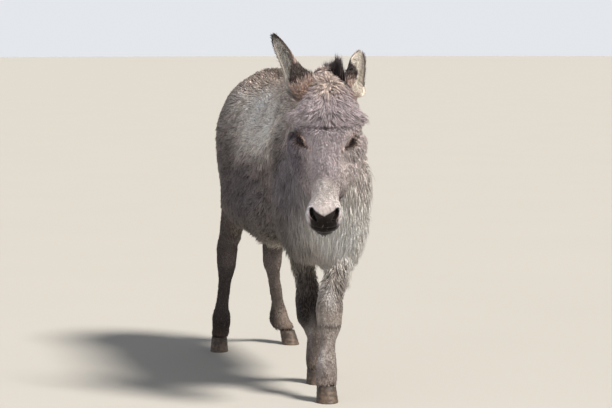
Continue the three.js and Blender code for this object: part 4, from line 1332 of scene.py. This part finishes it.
mane = {
    "crest": ((0, -285, 1092), (-4, -400, 1118), (-16, -520, 1132), (-41, -642, 1133), (-44, -712, 1135)),
    "tufts": 1450, "forelockTufts": 560, "dark": "#33282a", "edge": "#7d6e68", "half": 12.0,
    "forelockHalf": 30, "forelockShift": (6.0, -20.0, 0),
}
skinFaces = [list(f.vertices) for f in skinMesh.polygons]
skinTree = BVHTree.FromPolygons([Vector(p) for p in skinPoints], skinFaces)


def onSkin(points, heading):
    # each point moved along heading, from well outside, to the skin
    way = Vector(heading).normalized()
    result = points.copy()
    for index, point in enumerate(points):
        hit = skinTree.ray_cast(Vector(point) - way * 0.25, way)[0]
        if hit is not None:
            result[index] = hit
    return result


def buildMane():
    count = mane["tufts"] + mane["forelockTufts"]
    crest = np.array(mane["crest"]) + solidsShift
    t = np.append(random.random(mane["tufts"]), random.uniform(0.9, 1.0, mane["forelockTufts"]))
    lateral = np.clip(random.normal(0, 0.42, count), -1.5, 1.5)
    forelock = np.arange(count) >= mane["tufts"]
    aside = lateral * np.where(forelock, mane["forelockHalf"], mane["half"])
    root = smoothCurve(crest, t) + np.array([1.0, 0, 0]) * aside[:, None]
    root = root + np.array(mane["forelockShift"]) * forelock[:, None]
    top = root[:, 2] + 26 + 38 * smoothStep(0, 0.35, t) + 12 * smoothStep(0.8, 1, t)
    root = onSkin(root * millimetre, (0, 0, -1)) * 1000 - np.array([0, 0, 4.0])
    height = np.clip(top - root[:, 2], 24, 140) * random.uniform(0.72, 1.1, count)
    height = height * (1 - 0.4 * np.abs(lateral))
    height = height * np.where(forelock, random.uniform(0.7, 1.25, count), 1.0)
    lean = np.stack([lateral * 0.2, 0.08 + 0.10 * random.normal(size=count), np.ones(count)], axis=1)
    fan = np.stack([lateral * 0.42 + 0.06, -0.22 + 0.22 * random.normal(size=count), np.zeros(count)], axis=1)
    lean = lean + fan * forelock[:, None] + 0.08 * random.normal(size=(count, 3))
    tone = evenColour(mane["dark"], count)
    tone = blend(tone, mane["edge"], smoothStep(0.55, 1.0, np.abs(lateral)) * 0.5 * ~forelock)
    tone = tone * random.normal(1, 0.2, count).clip(0.5, 1.5)[:, None]
    facing = np.stack([np.sign(lateral + 1e-6), np.zeros(count), np.full(count, 0.1)], axis=1)
    places = np.stack([0.05 + 0.9 * t, 0.5 + 0.3 * lateral], axis=1)
    width = random.uniform(2.6, 5.0, count)
    level = np.zeros(count)
    mesh = tuftMesh("mane", root * millimetre, unit(facing), unit(lean), height * millimetre,
                    width * millimetre, level, level, tone, places, darkHair, 4, rootShadeTone=0.85, tipTone=1.1)
    linkPiece("mane", mesh, ["mane"])


buildMane()
print("mane: built")

# ---- Tail: a haired dock and a dark switch of long hair

tail = {
    "line": ((0, 565, 1045), (0, 642, 990), (0, 674, 860), (2, 680, 716), (-2, 676, 456)),
    "dock": "#8a7d77", "switch": "#3b302d", "dockTufts": 1100, "switchTufts": 1300,
}


def tailFrame(t, angle):
    line = np.array(tail["line"]) + solidsShift
    at = smoothCurve(line, t)
    along = unit(smoothCurve(line, np.minimum(t + 0.01, 1)) - smoothCurve(line, np.maximum(t - 0.01, 0)))
    across = np.tile([1.0, 0, 0], (len(t), 1))
    out = unit(np.cross(along, across))
    normal = across * np.cos(angle)[:, None] + out * np.sin(angle)[:, None]
    radius = 25 - 13 * smoothStep(0, 0.55, t) - 8 * smoothStep(0.6, 0.8, t)
    return at, along, normal, radius


def buildTail():
    def place(u, t):
        reach = t * 0.8
        at, _, normal, radius = tailFrame(reach, u * 2 * math.pi)
        shut = np.where((t <= 0) | (t >= 1), 0.0, 1.0)
        return (at + normal * (radius * shut)[:, None]) * millimetre

    def tint(u, t):
        colour = evenColour(tail["dock"], len(t))
        # the dock under its hair is darkened: painted shade
        return blend(colour, tail["switch"], smoothStep(0.4, 0.7, t)) * 0.7

    dock = sweptShell("tail", place, tint, 20, 40, hide)
    linkPiece("tail", dock, ["tail"])
    count = tail["dockTufts"] + tail["switchTufts"]
    inSwitch = np.arange(count) >= tail["dockTufts"]
    t = np.where(inSwitch, random.uniform(0.42, 0.8, count), random.uniform(0.02, 0.6, count))
    angle = random.uniform(0, 2 * math.pi, count)
    at, along, normal, radius = tailFrame(t, angle)
    left = (1 - t) / 0.58 * 235  # mm to the end of the tail
    switchLong = np.minimum(random.uniform(110, 190, count), left + 18)
    long = np.where(inSwitch, switchLong, random.uniform(20, 42, count))
    lift = np.where(inSwitch, random.uniform(2, 20, count), random.uniform(4, 9, count))
    wide = np.where(inSwitch, random.uniform(4.0, 6.5, count), random.uniform(3.4, 5.5, count))
    darkness = np.maximum(smoothStep(0.3, 0.5, t), inSwitch)
    tone = blend(evenColour(tail["dock"], count), tail["switch"], darkness)
    tone = tone * random.normal(1, 0.18, count).clip(0.5, 1.5)[:, None]
    way = unit(along + np.array([0, 0, -0.35]) * inSwitch[:, None] + 0.07 * random.normal(size=(count, 3)))
    root = (at + normal * (radius - 1)[:, None]) * millimetre
    places = np.stack([0.05 + 0.9 * t, 0.05 + 0.9 * angle / (2 * math.pi)], axis=1)
    mesh = tuftMesh("tailHair", root, normal, way, long * millimetre, wide * millimetre, lift * millimetre,
                    np.zeros(count), tone, places, darkHair, 4, rootShadeTone=0.8, tipTone=1.15)
    linkPiece("tailHair", mesh)


buildTail()
print("tail: built")

# ---- Hooves: upright horn boxes with growth rings, dried mud on them

hoof = {
    "height": 57.6, "wall": 57.0, "dip": 56.0,  # mm: the coronet's top, the wall's top, the middle of the top
    "lean": 20.0, "ring": 0.32, "rings": 4, "sole": 2.5,
    "places": {  # middle on the floor, toe's turn outwards in degrees, half width, in mm
        "fore_hoof_left": (-38, -580, -4.0, 39.0), "fore_hoof_right": (19, -208, -6.0, 39.0),
        "hind_hoof_left": (141, 718, 32.0, 36.0), "hind_hoof_right": (-182, 606, -12.0, 36.0)},
}
horn = {
    "dark": "#2b231f", "pale": "#4f4339", "mud": "#6a5747",
    "tubule": 1.6 * millimetre, "tubuleLong": 30 * millimetre,  # drawn coarser than real ones, to show
    "band": 4 * millimetre, "bandLong": 50 * millimetre, "clod": 16 * millimetre, "dent": 0.8 * millimetre,
}


def hornMaterial():
    # Hoof horn: keratin, matt brown-grey, with fine upright tubules,
    # level growth rings and dusty mud low down
    material, tree, shader = newMaterial("muddyHoofHorn", {"Roughness": 0.62, "IOR": 1.54})
    where = addNode(tree, "ShaderNodeTexCoord")
    inPlace = {"Vector": where.outputs["Object"]}

    def stretched(across, upwards):
        lie = addNode(tree, "ShaderNodeMapping", {"Scale": (1 / across, 1 / across, 1 / upwards)}, inPlace)
        return addNode(tree, "ShaderNodeTexNoise", {"Scale": 1.0, "Detail": 2.0}, {"Vector": lie.outputs[0]})

    tubules = stretched(horn["tubule"], horn["tubuleLong"])
    bands = stretched(horn["bandLong"], horn["band"])
    clods = addNode(tree, "ShaderNodeTexNoise", {"Scale": 1 / horn["clod"], "Detail": 5.0, "Roughness": 0.65},
                    inPlace)
    bare = addNode(tree, "ShaderNodeMix", {"data_type": "RGBA", 6: srgb(horn["dark"]), 7: srgb(horn["pale"])},
                   {0: tubules.outputs[0]})
    banded = addNode(tree, "ShaderNodeMix", {"data_type": "RGBA", "blend_type": "MULTIPLY", 0: 0.5},
                     {6: bare.outputs[2], 7: bands.outputs[1]})
    split = addNode(tree, "ShaderNodeSeparateXYZ", {}, {0: where.outputs["Object"]})
    low = addNode(tree, "ShaderNodeMapRange", {1: 0.0, 2: 0.055, 3: 0.2, 4: 0.06}, {0: split.outputs["Z"]})
    amount = addNode(tree, "ShaderNodeMath", {"operation": "ADD"}, {0: clods.outputs[0], 1: low.outputs[0]})
    cover = addNode(tree, "ShaderNodeMapRange", {1: 0.56, 2: 0.78, 3: 0.0, 4: 0.85}, {0: amount.outputs[0]})
    mud = addNode(tree, "ShaderNodeMix", {"data_type": "RGBA", 7: srgb(horn["mud"])},
                  {0: cover.outputs[0], 6: banded.outputs[2]})
    tree.links.new(mud.outputs[2], shader.inputs["Base Color"])
    height = addNode(tree, "ShaderNodeMath", {"operation": "ADD"},
                     {0: tubules.outputs[0], 1: cover.outputs[0]})
    dent = addNode(tree, "ShaderNodeBump", {"Strength": 0.5, "Distance": horn["dent"]},
                   {"Height": height.outputs[0]})
    tree.links.new(dent.outputs[0], shader.inputs["Normal"])
    return material


def hoofPoints(u, t, x, y, halfWidth, spin):
    angle = u * 2 * math.pi
    # along t: sole's middle, its edge, a small bevel, the wall with its rings, the coronet, the top's middle
    stations = (0, 0.12, 0.2, 0.26, 0.9, 0.97, 1.0)
    heights = (hoof["sole"], hoof["sole"], 0, 0.04 * hoof["wall"], hoof["wall"], hoof["height"], hoof["dip"])
    rise = np.interp(t, stations, heights)
    grow = np.interp(t, stations, (0, 0.86, 0.985, 1.0, 0.86, 0.80, 0))
    part = rise / hoof["height"]
    onWall = (t > 0.26) & (t < 0.9)
    rings = np.sin(part * hoof["rings"] * 2 * math.pi + 0.9 * np.sin(3 * angle))
    grow = grow + np.where(onWall, hoof["ring"] / halfWidth * rings, 0)
    heel = np.where(np.sin(angle) > 0, 0.9, 1.12)
    cleft = 1 - 0.12 * np.exp(-((angle - math.pi / 2) / 0.28) ** 2)
    px = np.cos(angle) * halfWidth * grow * (1 - 0.08 * np.maximum(0, np.sin(angle)))
    py = np.sin(angle) * halfWidth * heel * grow * cleft + hoof["lean"] * part
    turned = np.stack([px, py, rise], axis=1) @ spin.T
    return (turned + np.array([x, y, 0]) + solidsShift * np.array([1, 1, 0])) * millimetre


def buildHooves():
    material = hornMaterial()
    for name, (x, y, turn, halfWidth) in hoof["places"].items():
        spin = np.array(Matrix.Rotation(math.radians(turn), 3, "Z"))

        def place(u, t, numbers=(x, y, halfWidth, spin)):
            return hoofPoints(u, t, *numbers)

        mesh = sweptShell(name, place, lambda u, t: np.full((len(u), 3), 0.1), 56, 44, material)
        end, _, side = name.split("_")  # fore or hind, left or right
        linkPiece(end + "Hoof" + side.capitalize(), mesh, [name])


buildHooves()
print("hooves: built")

# ---- Lashes and whiskers: single hairs, drawn thick enough to show

bristles = {
    "lashes": 30, "lashLong": 10.0, "lashWide": 0.9, "lashColour": "#2a211e",
    "whiskers": 22, "whiskerLong": 18.0, "whiskerWide": 0.45, "whiskerColour": "#a59a92",
}


def buildBristles():
    roots, normals, ways, longs, wides, tones = [], [], [], [], [], []
    for side in (-1, 1):
        gaze, along, above = lidAxes(side)
        centre = eyeCentre(side)
        radius = headPose["eyeRadius"]
        for a in np.linspace(-0.8, 0.85, bristles["lashes"]):
            # upper lashes, set above the lid's edge and swept up and outwards
            b = lid["top"] * (1 - a * a) ** 0.75 + 1.6
            ray = unit(gaze * radius * 0.95 + along * a * lid["half"] + above * b)
            roots.append(centre + ray * (radius + lid["thick"]))
            normals.append(above)
            ways.append(gaze * 0.8 + above * 0.6 + along * a * 0.3)
            longs.append(bristles["lashLong"] * random.uniform(0.7, 1.15))
            wides.append(bristles["lashWide"])
            tones.append(srgb(bristles["lashColour"])[:3])
    roots, normals = fromHead(np.array(roots)), turnFromHead(np.array(normals))
    ways = turnFromHead(unit(np.array(ways)))
    longs, wides, tones = np.array(longs) * millimetre, np.array(wides) * millimetre, np.array(tones)
    lips = np.where((skinHead[:, 2] < -462) & (skinHead[:, 1] < 20) & (skinWeights[:, 0] > 0.5))[0]
    picks = lips[random.integers(0, len(lips), bristles["whiskers"])]
    roots = np.vstack([roots, skinPoints[picks]])
    whiskerWay = unit(skinNormals[picks] + np.array([0, 0, -0.5]) + 0.2 * random.normal(size=(len(picks), 3)))
    normals = np.vstack([normals, skinNormals[picks]])
    ways = np.vstack([ways, whiskerWay])
    longs = np.append(longs, random.uniform(0.5, 1.0, len(picks)) * bristles["whiskerLong"] * millimetre)
    wides = np.append(wides, np.full(len(picks), bristles["whiskerWide"] * millimetre))
    tones = np.vstack([tones, evenColour(bristles["whiskerColour"], len(picks))])
    rise = np.where(np.arange(len(longs)) < len(longs) - len(picks), 0.3, 0.8) * longs
    places = np.stack([np.linspace(0.05, 0.95, len(longs)), np.full(len(longs), 0.5)], axis=1)
    mesh = tuftMesh("lashesAndWhiskers", roots, normals, ways, longs, wides, rise, longs * 0.1, tones, places,
                    darkHair, 4, rootShadeTone=1.0, tipTone=1.0)
    linkPiece("lashesAndWhiskers", mesh)


buildBristles()
print("lashes and whiskers: built")
